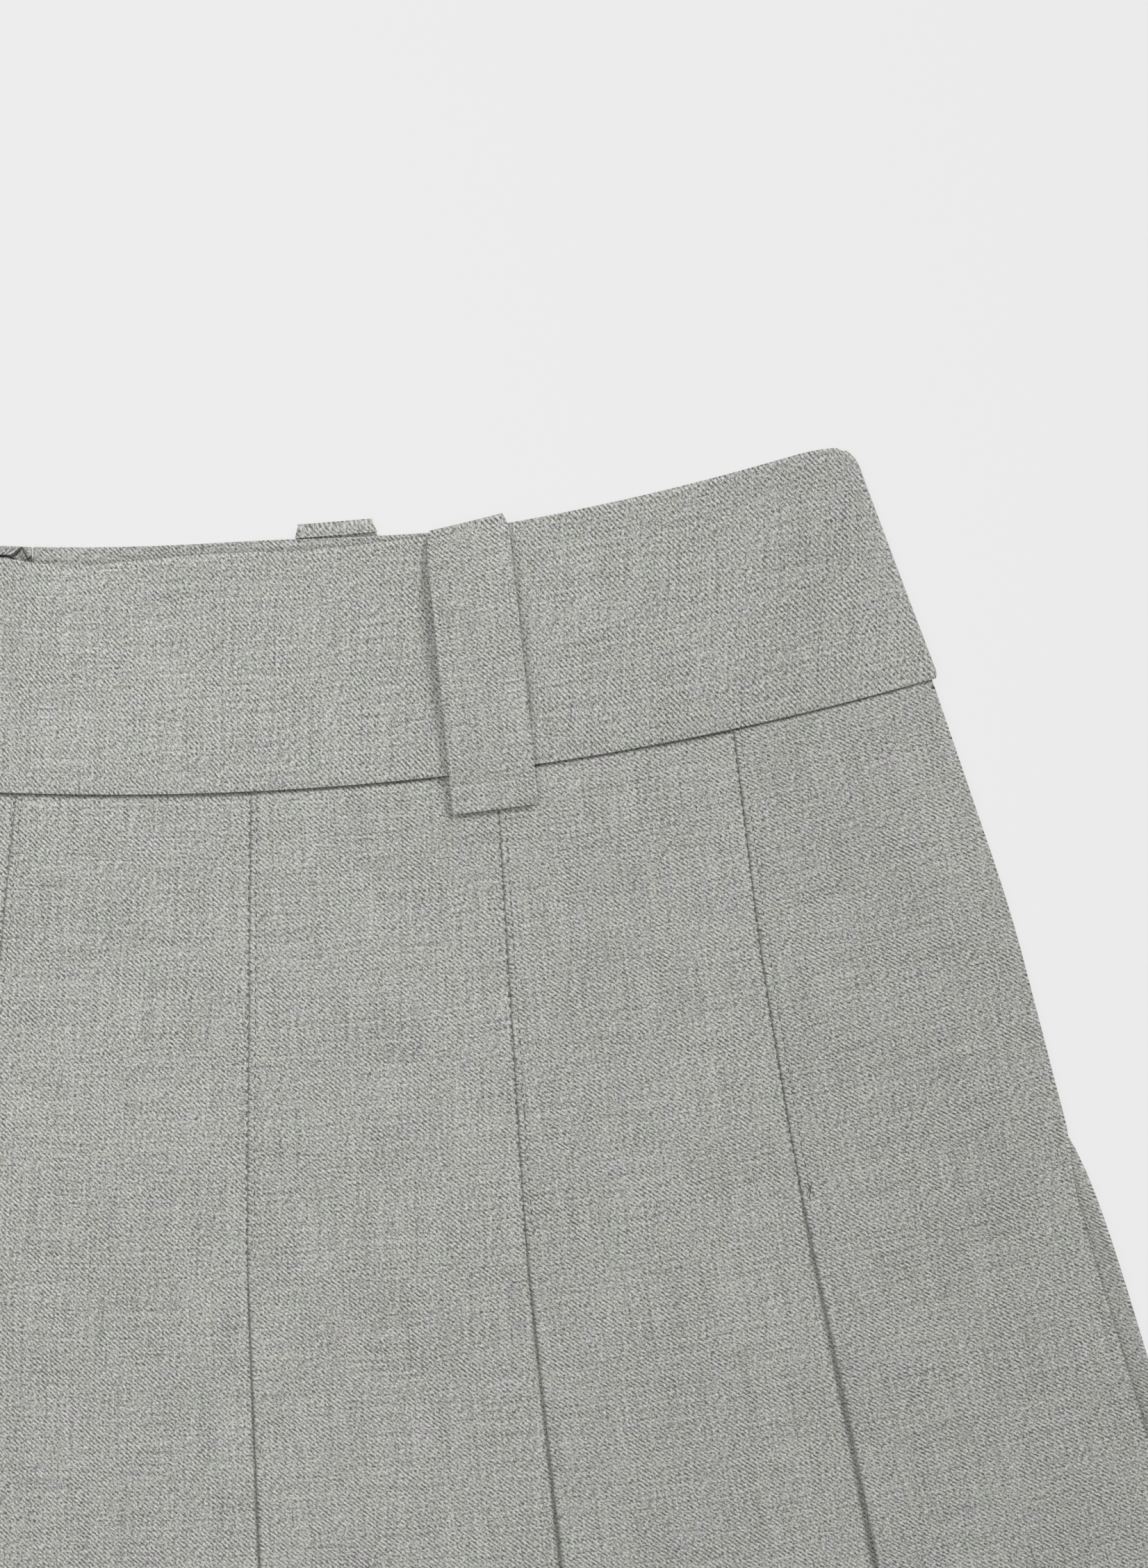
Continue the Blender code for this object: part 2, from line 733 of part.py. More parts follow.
def add_slider(finish, collection, tools):
    """Slider body on the inner side, with the bridge that comes out through the seam."""
    half = SLIDER_SIZE[0] / 2
    body = add_block(
        "zip_slider",
        zip_corner(-half, SLIDER_UP, SLIDER_LIFT),
        zip_corner(half, SLIDER_UP + SLIDER_SIZE[1], SLIDER_LIFT + SLIDER_SIZE[2]),
        finish,
        collection,
    )
    rounding = body.modifiers.new("Rounded edges", "BEVEL")
    rounding.width = 0.5 * MM
    rounding.segments = 2
    reach = BRIDGE_WIDTH / 2
    bridge = add_block(
        "bridge",
        zip_corner(-reach, BRIDGE_UP[0], BRIDGE_LOWEST),
        zip_corner(reach, BRIDGE_UP[1], SLIDER_LIFT + 1.0),
        finish,
        tools,
    )
    window = add_block(
        "bridge_window",
        zip_corner(-2 * reach, BRIDGE_WINDOW_UP[0], BRIDGE_WINDOW_Z[0]),
        zip_corner(2 * reach, BRIDGE_WINDOW_UP[1], BRIDGE_WINDOW_Z[1]),
        finish,
        tools,
    )
    for tool, operation in ((bridge, "UNION"), (window, "DIFFERENCE")):
        tool.hide_render = True
        tool.display_type = "WIRE"
        cut = body.modifiers.new(tool.name, "BOOLEAN")
        cut.object = tool
        cut.operation = operation
    return body


def add_pull(finish, collection):
    """Drop-shaped pull tab. Its own origin is on the hinge axis, at the bridge."""
    half = PULL_WIDTH / 2
    rod = PULL_THICKNESS / 2
    low = rod - PULL_LENGTH + half
    outline = [(half - 0.3, rod), (half, rod - 0.3), (half * 0.8, low * 0.55)]
    outline += [(x, y) for x, y, _ in arc((0.0, low), half, 0, -180, 10)]
    outline += [(-half * 0.8, low * 0.55), (-half, rod - 0.3), (-half + 0.3, rod)]
    side = PULL_WINDOW_WIDTH / 2
    window = [(-side, -rod), (side, -rod), (side, -PULL_WINDOW_LENGTH), (-side, -PULL_WINDOW_LENGTH)]
    curve = bpy.data.curves.new("zip_pull", "CURVE")
    curve.dimensions = "2D"
    curve.fill_mode = "BOTH"
    curve.extrude = PULL_THICKNESS / 2 * MM
    for points in (outline, window):
        spline = curve.splines.new("POLY")
        spline.points.add(len(points) - 1)
        spline.use_cyclic_u = True
        for point, (x, y) in zip(spline.points, points):
            point.co = (x * MM, y * MM, 0.0, 1.0)
    pull = add_object("zip_pull", curve, finish, collection)
    pull.location = zip_corner(0.0, HINGE_UP, HINGE_Z)
    pull.rotation_euler = (math.asin((HINGE_Z - PULL_TIP_Z) / (PULL_LENGTH - rod)), 0.0, 0.0)
    return pull


def clear_scene():
    for found in list(bpy.data.objects):
        bpy.data.objects.remove(found, do_unlink=True)


def main():
    clear_scene()
    garment = bpy.data.collections.new("Pleated_Mini_Skirt")
    tools = bpy.data.collections.new("Cutters")
    for made in (garment, tools):
        bpy.context.scene.collection.children.link(made)
    twill = material("Grey melange twill", (0.39, 0.395, 0.37), 0.92)
    tape = material("Grey zip tape", (0.30, 0.30, 0.29), 0.85)
    metal = material("Dark nickel wire", (0.25, 0.25, 0.25), 0.35, 1.0)

    add_cloth("front_skirt", [front_section(down) for down in ROWS_DOWN], WALL, twill, garment)
    add_cloth("back_skirt_left", [back_right_section(down) for down in ROWS_DOWN], WALL, twill, garment)
    add_cloth("back_skirt_right", [back_left_section(down) for down in ROWS_DOWN], WALL, twill, garment)
    front_rows = [front_band_section(share) for share in FRONT_BAND_SHARES]
    add_cloth("waistband_front", front_rows, BAND_WALL, twill, garment)
    for name, side in (("waistband_back_left", 1), ("waistband_back_right", -1)):
        rows = [back_band_section(side, row) for row in range(len(BACK_BAND_ROWS) + 1)]
        add_cloth(name, rows, BAND_WALL, twill, garment)
    for place, front in (("front", True), ("back", False)):
        for hand, side in (("left", 1), ("right", -1)):
            add_cloth(f"belt_loop_{place}_{hand}", loop_rows(front, side), LOOP_WALL, twill, garment)
    add_bar("zip_chain", zip_rows(), tape, garment)
    add_slider(metal, garment, tools)
    add_pull(metal, garment)
    add_wire("hook", wire_points(HOOK_ROUTE, HOOK_WIRE), HOOK_WIRE, metal, garment)
    add_wire("eye", wire_points(EYE_ROUTE, EYE_WIRE), EYE_WIRE, metal, garment)


main()
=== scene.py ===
"""Dresses the laid, pleated micro mini skirt with its cloth, stitching, zip, hook and eye.

Sizes are in millimetres, and world places are in metres. A place on the skirt is given by
`along`, the distance along the waist seam from the middle, and `down`, the distance below that
seam. Places on the waistband use `up`, the distance above it.
"""

from collections import namedtuple
from functools import lru_cache
from math import asin, ceil, cos, dist, exp, floor, hypot, pi, radians, sin, tan

import bmesh
import bpy
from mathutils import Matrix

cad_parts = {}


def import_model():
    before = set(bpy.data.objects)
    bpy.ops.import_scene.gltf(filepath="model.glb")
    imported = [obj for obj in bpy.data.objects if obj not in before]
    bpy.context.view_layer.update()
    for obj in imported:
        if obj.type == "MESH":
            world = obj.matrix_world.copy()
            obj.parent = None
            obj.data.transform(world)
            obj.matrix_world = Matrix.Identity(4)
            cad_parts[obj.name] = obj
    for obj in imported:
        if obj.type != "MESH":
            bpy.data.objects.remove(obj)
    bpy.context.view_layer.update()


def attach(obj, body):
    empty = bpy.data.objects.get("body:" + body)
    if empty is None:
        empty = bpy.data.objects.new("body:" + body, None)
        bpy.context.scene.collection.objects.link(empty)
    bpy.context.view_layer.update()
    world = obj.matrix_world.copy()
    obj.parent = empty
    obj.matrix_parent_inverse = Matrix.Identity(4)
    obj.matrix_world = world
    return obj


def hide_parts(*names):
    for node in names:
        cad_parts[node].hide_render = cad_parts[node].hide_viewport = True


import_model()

bl_info = {
    "name": "Pleated Mini Skirt",
    "version": (1, 0, 0),
    "blender": (4, 5, 0),
    "location": "3D View > Sidebar > Skirt",
    "description": "Builds the laid grey mini skirt around its packed frame",
    "category": "Add Mesh",
}

MM = 0.001
FLOOR_LEVEL = -0.0001
SKIRT = "skirt"
PULL_TAB = "pull_tab"
HANDS = (("left", 1), ("right", -1))

# The laid outline, as in the frame
HEM_DROP = 280.0
STITCHED_DOWN = 100.0
UNDERLAY = 30.0
CENTRE_BACK_UNDERLAY = 14.0
SEAM_RADIUS = 635.0
SEAM_HALF = 199.5
FIRST_BACK_FOLD = 191.9
CENTRE_BACK = 1.7
RUN_STEPS = 48
SPRING_RUN = 10.0
SWAY_DOWN = 98.0
SWAY_HALF = 45.0
SIDE_FALL = 1.7
SIDE_FALL_FROM = (100.0, 116.0)
SIDE_FALL_TO = (118.0, 175.0)
BAND_HALF = 201.0
BAND_TAPER = 0.00041
BAND_HEIGHT_CENTRE = 49.0
BAND_HEIGHT_GAIN = 0.0294
BAND_MIDDLE_ROUND = 8.0
BAND_CORNER_FROM = 184.0
BAND_CORNER_DROP = 2.4
BAND_END = 193.3
BACK_RISE = 3.7
BACK_RISE_FADE = (45.0, 125.0)
BACK_MIDDLE_RISE = 0.5
BACK_MIDDLE_HALF = 45.0

# Small rises of the front band's top edge: where, how wide to one side, how high
FRONT_EDGE_BUMPS = ((-5.0, 7.0, 1.2), (44.0, 20.0, 1.2))

# Belt loops
LOOP_WIDTH = 18.3
LOOP_BELOW_SEAM = 8.3
FRONT_LOOP_ALONG = 102.5
FRONT_LOOP_LEAN = 0.072
FRONT_LOOP_TILT = 0.0018
FRONT_LOOP_RISE = 2.0
BACK_LOOP_ALONG = 74.8
BACK_LOOP_RISE = 3.3

# Heights of the cloth in the stack
FRONT_TOP = 7.05
FRONT_TOP_HEM = 7.9
SIDE_SETTLE = (60.0, 186.0)
RIGHT_SETTLE_LAST = (186.0, 198.0)
BAND_OVER_SKIRT = 0.55
BAND_MIDDLE_TOP = 5.0
BAND_HUMP_HALF = 16.0
BAND_SIDE_TOP = 1.9
PULL_LIFT = 2.0
PULL_LIFT_LEVEL = 4.0
PULL_LIFT_END = 16.0
PULL_LIFT_UP = (6.0, 34.0)
LOOP_LIFT = 1.35
LOOP_LIFT_ALONG = 73.3
BACK_LIFT_LEVEL = 12.0
BACK_LIFT_END = 23.0
LIFT_DOWN = (12.0, 34.0)
SIDE_ROLL = 0.9
SIDE_ROLL_WIDTH = 5.0
FLARE_LIFT = 2.0
FLARE_WIDTH = 5.0
FLARE_DOWN = (62.0, 92.0)

# The run of one crease down the cloth: sideways travel per millimetre changes
# from upper to lower between the two bends, spring is how far the crease jumps
# once its stitching ends, and sway is a soft bow to one side at mid length.
Line = namedtuple("Line", "along upper lower bend_from bend_to spring sway", defaults=(0,))

LEFT_SIDE = Line(-SEAM_HALF, -0.378, -0.295, 40, 65, 0)
RIGHT_SIDE = Line(SEAM_HALF, 0.378, 0.295, 40, 65, 0)
FRONT_FOLDS = (
    Line(-155.3, -0.255, -0.235, 85, 115, 0),
    Line(-103.5, -0.180, -0.165, 85, 115, 0),
    Line(-50.5, -0.120, -0.095, 85, 115, 0),
    Line(0.0, -0.065, -0.025, 85, 115, 0),
    Line(50.5, 0.025, 0.075, 85, 115, 0),
    Line(103.5, 0.095, 0.145, 85, 115, 0),
    Line(155.3, 0.162, 0.222, 35, 60, 0, -1.25),
)
BACK_FOLDS = (
    Line(FIRST_BACK_FOLD, 0.454, 0.335, 40, 90, 3.8),
    Line(135.5, 0.203, 0.210, 85, 115, 0),
    Line(81.3, 0.122, 0.127, 85, 115, 0),
    Line(27.1, 0.041, 0.043, 85, 115, 0),
    Line(-27.1, -0.041, -0.043, 85, 115, 0),
    Line(-81.3, -0.122, -0.127, 85, 115, 0),
    Line(-135.5, -0.203, -0.210, 85, 115, 0),
    Line(-FIRST_BACK_FOLD, -0.366, -0.288, 40, 65, 0),
)
FRONT_LINES = (LEFT_SIDE,) + FRONT_FOLDS + (RIGHT_SIDE,)
BACK_INNER_LINES = (LEFT_SIDE,) + BACK_FOLDS[6:0:-1] + (RIGHT_SIDE,)
BACK_OUTER_LINES = (LEFT_SIDE,) + BACK_FOLDS[7:0:-1] + (BACK_FOLDS[0],)
HIDDEN_SEAM = FIRST_BACK_FOLD - 2 * SEAM_HALF + UNDERLAY

# How deep the step at each front fold is where it is stitched and where it ends at
# the hem, and how wide the mouth of the pleat stands open at the hem
Step = namedtuple("Step", "stitched hem mouth")
FRONT_STEPS = (
    Step(0.50, 1.5, 4.0),
    Step(0.42, 1.3, 3.0),
    Step(0.34, 1.1, 2.1),
    Step(0.30, 0.9, 1.5),
    Step(0.34, 1.1, 2.0),
    Step(0.40, 1.4, 3.1),
    Step(0.56, 1.6, 5.6),
)

# Soft troughs (depth below 0) and ridges (above 0) of the laid cloth: where the
# middle is, how long and wide they are, and how far they lean from straight down.
Crease = namedtuple("Crease", "along down length width lean depth")
FRONT_CREASES = tuple(Crease(*row) for row in (
    (124, 24, 38, 13, 14, -0.34), (159, 52, 46, 12, 8, 0.26), (181, 68, 58, 11, -6, -0.30),
    (186, 150, 64, 10, -5, -0.30), (146, 120, 70, 15, 4, 0.22), (84, 60, 52, 15, -4, 0.20),
    (68, 118, 66, 14, 7, -0.24), (29, 46, 48, 16, 5, 0.18), (18, 110, 76, 15, -5, -0.20),
    (116, 172, 60, 13, 9, -0.30), (37, 190, 70, 16, 6, 0.26), (-22, 70, 60, 16, -6, -0.22),
    (-38, 150, 72, 15, 4, 0.26), (-77, 40, 46, 15, 8, 0.20), (-84, 128, 66, 14, -7, -0.28),
    (-128, 78, 58, 14, -8, 0.26), (-136, 180, 64, 13, 6, -0.30), (-176, 60, 54, 12, 7, -0.28),
    (-180, 160, 62, 11, -7, 0.26), (92, 238, 44, 16, -8, 0.30), (-16, 246, 46, 17, 7, -0.30),
    (-108, 250, 40, 14, -5, 0.28), (168, 244, 42, 13, 6, -0.28),
))
BAND_CREASES = tuple(Crease(*row) for row in (
    (168, -31, 24, 12, 20, -0.30), (138, -20, 30, 16, -18, 0.22), (118, -35, 22, 10, 8, 0.16),
    (62, -24, 36, 18, 12, -0.20), (28, -32, 30, 16, -12, 0.16), (-30, -22, 32, 16, 10, -0.20),
    (-74, -28, 30, 17, -14, 0.22), (-130, -24, 30, 15, 16, -0.26), (-170, -28, 26, 12, -18, 0.24),
))

PANEL_SHIFT = (73.0, 41.0)
COARSE = 5.0
PANEL_STEP = 3.6
SIDE_STEP = 2.4
INNER_STEP = 6.0
BAND_STEP = 3.0
BACK_BAND_STEP = 4.0
FINE_ROWS = (0.26, 0.5, 0.9, 1.5, 2.5, 4.2, 7.0)
TURN_STEPS = 8
SIDE_TURN_STEPS = 10
DIVE = ((-1.0, 0.0), (-0.64, 0.1), (-0.3, 0.34), (0.02, 0.82), (0.35, 1.0))
PLEAT_DROP = 0.18
UNDERLAY_STOPS = (4.0, 10.0, 16.0, 22.0, 27.0)
EDGE_STOPS = (0.95, 1.35, 1.8, 2.8)
SEAM_DIP = 1.7
SEAM_DIP_AT_SIDES = 0.7
SEAM_DIP_REACH = 0.95
BACK_TUCK = 1.1
TUCK_AT_SIDES = 0.5
TUCK_FADE = (0.1, 1.5)
TUCK_UP = 1.1
BAND_ROLL = 0.4
BAND_ROLL_REACH = 0.7
BAND_EDGE_ROLL = 0.35
BAND_EDGE_REACH = 0.6
LAYER_GAPS = (0.06, 0.62)
STACK_SLACK = 0.2
RIGHT_SETTLE_LAYERS = (2, 0.9)
STITCHED_MOUTH = 0.4
BACK_TURN_CLEAR = 2.5
BACK_CLIMB = (7, 1.2)
CENTRE_BACK_GAP = 0.12
STITCH_INSET = 1.35
STITCH_TROUGH = 0.13
STITCH_TROUGH_HALF = 0.42


def clamp01(value):
    return min(max(value, 0.0), 1.0)


def smooth(value):
    value = clamp01(value)
    return value * value * (3 - 2 * value)


def mix(first, second, share):
    return first + (second - first) * share


def ramp(value, first, last):
    """0 up to `first`, 1 from `last` on, and a smooth rise between them."""
    return smooth((value - first) / (last - first))


def bell(value, half):
    return exp(-((value / half) ** 2))


@lru_cache(maxsize=None)
def run_of(line, down):
    """How far sideways and down a crease has gone after `down` of cloth."""
    across = below = 0.0
    step = down / RUN_STEPS
    for index in range(RUN_STEPS):
        bend = clamp01(((index + 0.5) * step - line.bend_from) / (line.bend_to - line.bend_from))
        slope = mix(line.upper, line.lower, bend)
        length = hypot(1, slope)
        across += step * slope / length
        below += step / length
    if down > STITCHED_DOWN:
        across += line.spring * (1 - exp((STITCHED_DOWN - down) / SPRING_RUN))
    across += line.sway * bell(down - SWAY_DOWN, SWAY_HALF)
    if line.along == SEAM_HALF:
        across -= SIDE_FALL * ramp(down, *SIDE_FALL_FROM) * (1 - ramp(down, *SIDE_FALL_TO))
    return across, below


@lru_cache(maxsize=None)
def on_cloth(lines, along, down):
    """The point of the laid skirt at `along` and `down`: (across, below)."""
    index = 1
    while index < len(lines) - 1 and lines[index].along < along:
        index += 1
    before, after = lines[index - 1], lines[index]
    share = (along - before.along) / (after.along - before.along)
    first, second = run_of(before, down), run_of(after, down)
    angle = along / SEAM_RADIUS
    across = SEAM_RADIUS * sin(angle) + mix(first[0], second[0], share)
    below = SEAM_RADIUS * (cos(angle) - 1) + mix(first[1], second[1], share)
    return across, below


def tangent(lines, along, down):
    first = on_cloth(lines, along - 1, down)
    second = on_cloth(lines, along + 1, down)
    length = hypot(second[0] - first[0], second[1] - first[1])
    return (second[0] - first[0]) / length, (second[1] - first[1]) / length


def plain_band_height(along):
    away = hypot(along, BAND_MIDDLE_ROUND) - BAND_MIDDLE_ROUND
    corner = clamp01((abs(along) - BAND_CORNER_FROM) / (BAND_HALF - BAND_CORNER_FROM))
    return BAND_HEIGHT_CENTRE + BAND_HEIGHT_GAIN * away - BAND_CORNER_DROP * corner**3


def band_height(along):
    """Height of the front band, with the small rises of its laid top edge."""
    bumps = sum(rise * bell(along - at, half) for at, half, rise in FRONT_EDGE_BUMPS)
    return plain_band_height(along) + bumps


def back_band_height(along):
    rise = BACK_RISE * (1 - ramp(abs(along), *BACK_RISE_FADE))
    return plain_band_height(along) + rise + BACK_MIDDLE_RISE * bell(along, BACK_MIDDLE_HALF)


def on_band(along, up):
    angle = along * (1 - BAND_TAPER * up) / SEAM_RADIUS
    radius = SEAM_RADIUS - up
    return radius * sin(angle), radius * cos(angle) - SEAM_RADIUS


@lru_cache(maxsize=None)
def origin():
    """The point of the laid garment that is at x = 0, y = 0."""
    right = on_cloth(BACK_OUTER_LINES, FIRST_BACK_FOLD, HEM_DROP)[0]
    left = on_cloth(FRONT_LINES, -SEAM_HALF, HEM_DROP)[0]
    top = on_band(BAND_CORNER_FROM, plain_band_height(BAND_CORNER_FROM))[1]
    bottom = on_cloth(FRONT_LINES, 0.0, HEM_DROP)[1]
    return (left + right) / 2, (top + bottom) / 2


def world(across, below, height):
    centre = origin()
    return (across - centre[0]) * MM, (centre[1] - below) * MM, height * MM


def band_point(along, up, height):
    across, below = on_band(along, up)
    return world(across, below, height)


def look():
    return bpy.context.scene.skirt_cloth


def opened(down):
    return clamp01((down - STITCHED_DOWN) / (HEM_DROP - STITCHED_DOWN))


def pitch(down):
    """Distance between the middles of two folded layers."""
    return look().thickness + mix(*LAYER_GAPS, opened(down) ** 0.8)


def back_level(layer, down):
    return look().thickness / 2 + layer * pitch(down)


def creases_at(creases, along, down):
    """Rise or fall of the cloth from the soft creases near a place."""
    total = 0.0
    for crease in creases:
        below = down - crease.down
        if abs(below) < crease.length:
            lean = tan(radians(crease.lean))
            aside = along - crease.along - below * lean
            total += crease.depth * bell(aside, crease.width) * bell(below, crease.length / 2)
    return total * look().creases


def front_settle(along, down):
    """Height of the topmost front layer before its creases: it thins towards the sides."""
    full = mix(FRONT_TOP, FRONT_TOP_HEM, opened(down))
    step = pitch(down)
    stacked = back_level(2, down) + 3 * step + STACK_SLACK
    height = mix(full, stacked, ramp(abs(along), *SIDE_SETTLE))
    if along > 0:
        layers = mix(*RIGHT_SETTLE_LAYERS, opened(down) ** 0.5)
        height -= layers * step * ramp(along, *RIGHT_SETTLE_LAST)
    return height


def seam_dip(along, away):
    """How far the skirt dips into the groove of the waist seam."""
    deepest = SEAM_DIP * mix(1.0, SEAM_DIP_AT_SIDES, ramp(abs(along), *SIDE_SETTLE))
    return deepest * exp(-max(away, 0.0) / SEAM_DIP_REACH)


@lru_cache(maxsize=None)
def front_top(along, down):
    height = front_settle(along, down) + creases_at(FRONT_CREASES, along, down)
    return height - seam_dip(along, down)


def back_lift(along, down):
    """Rise of the back over the two belt loops that lie under it."""
    away = abs(abs(along) - LOOP_LIFT_ALONG)
    return LOOP_LIFT * (1 - ramp(away, BACK_LIFT_LEVEL, BACK_LIFT_END)) * (1 - ramp(down, *LIFT_DOWN))


def back_rise(along, down):
    """Rise of the back skirt, with the tuck of its top edge behind the band."""
    tuck = BACK_TUCK * mix(1.0, TUCK_AT_SIDES, ramp(abs(along), *SIDE_SETTLE))
    return back_lift(along, down) + tuck * (1 - ramp(down, *TUCK_FADE))


def pull_lift(along, up):
    """Rise of the back band over the pull tab that lies under it."""
    away = abs(along - CENTRE_BACK)
    return PULL_LIFT * (1 - ramp(away, PULL_LIFT_LEVEL, PULL_LIFT_END)) * ramp(up, *PULL_LIFT_UP)


def side_roll(along):
    """Fall of the top layer where it rolls over the side fold at +X."""
    return SIDE_ROLL * clamp01((along - SEAM_HALF + SIDE_ROLL_WIDTH) / SIDE_ROLL_WIDTH) ** 2


@lru_cache(maxsize=None)
def flare_start(down):
    """Where on the outermost back panel the front's side fold at +X crosses over it."""
    edge = on_cloth(FRONT_LINES, SEAM_HALF, down)[0]
    along = FIRST_BACK_FOLD
    while on_cloth(BACK_OUTER_LINES, along, down)[0] > edge:
        along -= 0.25
    return along


def flare_lift(along, down):
    """Rise of the outermost back fold, where it shows past the front's side at +X."""
    start = flare_start(down)
    return FLARE_LIFT * ramp(along, start, start + FLARE_WIDTH) * ramp(down, *FLARE_DOWN)


def front_step(index, down):
    """Depth of the step at a front fold."""
    step = FRONT_STEPS[index]
    depth = mix(step.stitched, step.hem, opened(down) ** 0.6)
    return min(depth, 2 * pitch(down))


def front_mouth(index, down):
    """How far before a front fold the cloth below it starts to go down into the pleat."""
    return mix(STITCHED_MOUTH, FRONT_STEPS[index].mouth, opened(down) ** 0.35)


class Row:
    """One cross-section of a cloth sheet, as points along its middle line."""

    def __init__(self, lines=None, down=0.0):
        self.lines = lines
        self.down = down
        self.points = []
        self.starts = [0]
        self.anchors = []

    def add(self, along, height, inset=0.0, lines=None):
        lines = lines or self.lines
        across, below = on_cloth(lines, along, self.down)
        if inset:
            sideways = tangent(lines, along, self.down)
            across += inset * sideways[0]
            below += inset * sideways[1]
        self.points.append(world(across, below, height))

    def add_on_band(self, along, up, height):
        self.points.append(band_point(along, up, height))

    def turn(self, along, first, last, inwards, steps, lines=None):
        """A fold from one height to another whose outer face is at `along`."""
        radius = abs(last - first) / 2
        centre = (first + last) / 2
        side = 1 if last > first else -1
        deepest = inwards * (radius + look().thickness / 2)
        for step in range(steps + 1):
            angle = pi * step / steps - pi / 2
            inset = deepest - inwards * radius * cos(angle)
            self.add(along, centre + side * radius * sin(angle), inset, lines)

    def begin_panel(self):
        """The next faces belong to a new panel, whose weave runs its own way."""
        self.starts.append(len(self.points) - 1)

    def anchor(self, *columns):
        """The columns whose middle the panel's weave is measured from."""
        self.anchors.append(columns)


def spread(first, last, longest):
    """Even stations after `first` up to `last`."""
    steps = max(1, ceil(abs(last - first) / longest))
    return [mix(first, last, (step + 1) / steps) for step in range(steps)]


def visible_stops(start, end):
    """Stations of a panel's outer layer, close together beside its fold."""
    stops = [start + stop for stop in EDGE_STOPS]
    return stops + spread(stops[-1], end, PANEL_STEP)


def trough_at(fold, along, down):
    """The cloth dips a little under the edge stitching."""
    fade = 1 - ramp(down, STITCHED_DOWN - 3, STITCHED_DOWN + 2)
    return STITCH_TROUGH * bell(along - fold - STITCH_INSET, STITCH_TROUGH_HALF) * fade


def add_front_panel(row, index, previous_end):
    """The end of one panel, the underlay of the next fold, and its outer face."""
    down, step = row.down, pitch(row.down)
    fold = FRONT_FOLDS[index].along
    sink = front_step(index, down)

    def level(along, layer):
        return front_top(along, down) - (2 - layer) * step

    mouth = front_mouth(index, down)
    rim = fold + DIVE[0][0] * mouth
    for share in spread(0.0, 1.0, 1 / 7):
        along = mix(previous_end, rim, share)
        row.add(along, front_top(along, down) - sink * smooth(share))
    visible_end = len(row.points) - 1
    deepest = 2 * step + PLEAT_DROP * FRONT_STEPS[index].mouth * opened(down) ** 0.4
    for offset, share in DIVE[1:]:
        along = fold + offset * mouth
        row.add(along, front_top(along, down) - mix(sink, deepest, share))
    for stop in UNDERLAY_STOPS:
        row.add(fold + stop, level(fold + stop, 0))
    end = fold + UNDERLAY
    row.turn(end, level(end, 0), level(end, 1), -1, TURN_STEPS)
    row.begin_panel()
    for stop in reversed(UNDERLAY_STOPS):
        row.add(fold + stop, level(fold + stop, 1))
    row.turn(fold, level(fold, 1), level(fold, 2), 1, TURN_STEPS)
    fold_column = len(row.points) - 1
    for along in visible_stops(fold, end):
        row.add(along, level(along, 2) - trough_at(fold, along, down))
    return visible_end, fold_column


def front_row(down):
    """From the seam hidden in the left side pleat, round both side folds."""
    row = Row(FRONT_LINES, down)
    step = pitch(down)
    left = -SEAM_HALF
    inner, between, outer = (back_level(layer, down) for layer in (2, 1, 0))
    high = front_top(left + 1.5, down)
    row.add(HIDDEN_SEAM, front_top(HIDDEN_SEAM, down) - step)
    row.turn(left + step, high - step, between, 1, SIDE_TURN_STEPS)
    row.turn(-FIRST_BACK_FOLD, between, outer, -1, TURN_STEPS, BACK_OUTER_LINES)
    row.turn(left, outer, high, 1, SIDE_TURN_STEPS)
    fold_column = len(row.points) - 1
    previous_end = left + 3
    row.add(previous_end, front_top(previous_end, down))
    for index, fold in enumerate(FRONT_FOLDS):
        visible_end, following = add_front_panel(row, index, previous_end)
        row.anchor(fold_column, visible_end)
        fold_column = following
        previous_end = fold.along + UNDERLAY
    for along in spread(previous_end, SEAM_HALF - 2, SIDE_STEP):
        row.add(along, front_top(along, down) - side_roll(along))
    row.anchor(fold_column, len(row.points) - 1)
    side = front_top(SEAM_HALF - 1, down) - side_roll(SEAM_HALF - 1)
    row.turn(SEAM_HALF, side, inner, -1, SIDE_TURN_STEPS)
    for along in spread(SEAM_HALF - 3, FIRST_BACK_FOLD - UNDERLAY, INNER_STEP):
        row.add(along, inner + back_rise(along, down), 0, BACK_INNER_LINES)
    return row


def add_back_run(row, first, last, layer):
    """Points along a back layer, at stations that stacked layers share."""
    low, high = sorted((first, last))
    stops = range(ceil((low + 1.5) / COARSE), floor((high - 1.5) / COARSE) + 1)
    for along in [stop * COARSE for stop in (stops if last > first else reversed(stops))] + [last]:
        rise = back_rise(along, row.down) + flare_lift(along, row.down)
        row.add(along, back_level(layer, row.down) + rise)


def add_back_turn(row, fold, first, last, inwards):
    rise = back_rise(fold + inwards * pitch(row.down) / 2, row.down) + flare_lift(fold, row.down)
    levels = [back_level(layer, row.down) + rise for layer in (first, last)]
    row.turn(fold, levels[0], levels[1], inwards, TURN_STEPS)


def add_back_climb(row, fold):
    """The outer layer of a back panel climbs over the underlay of the panel at `fold`."""
    inner, outer = back_level(2, row.down), back_level(0, row.down)
    for share in (0.25, 0.5, 0.75, 1.0):
        along = mix(fold + BACK_CLIMB[0], fold + BACK_CLIMB[1], share)
        row.add(along, mix(outer, inner, smooth(share)) + back_rise(along, row.down))


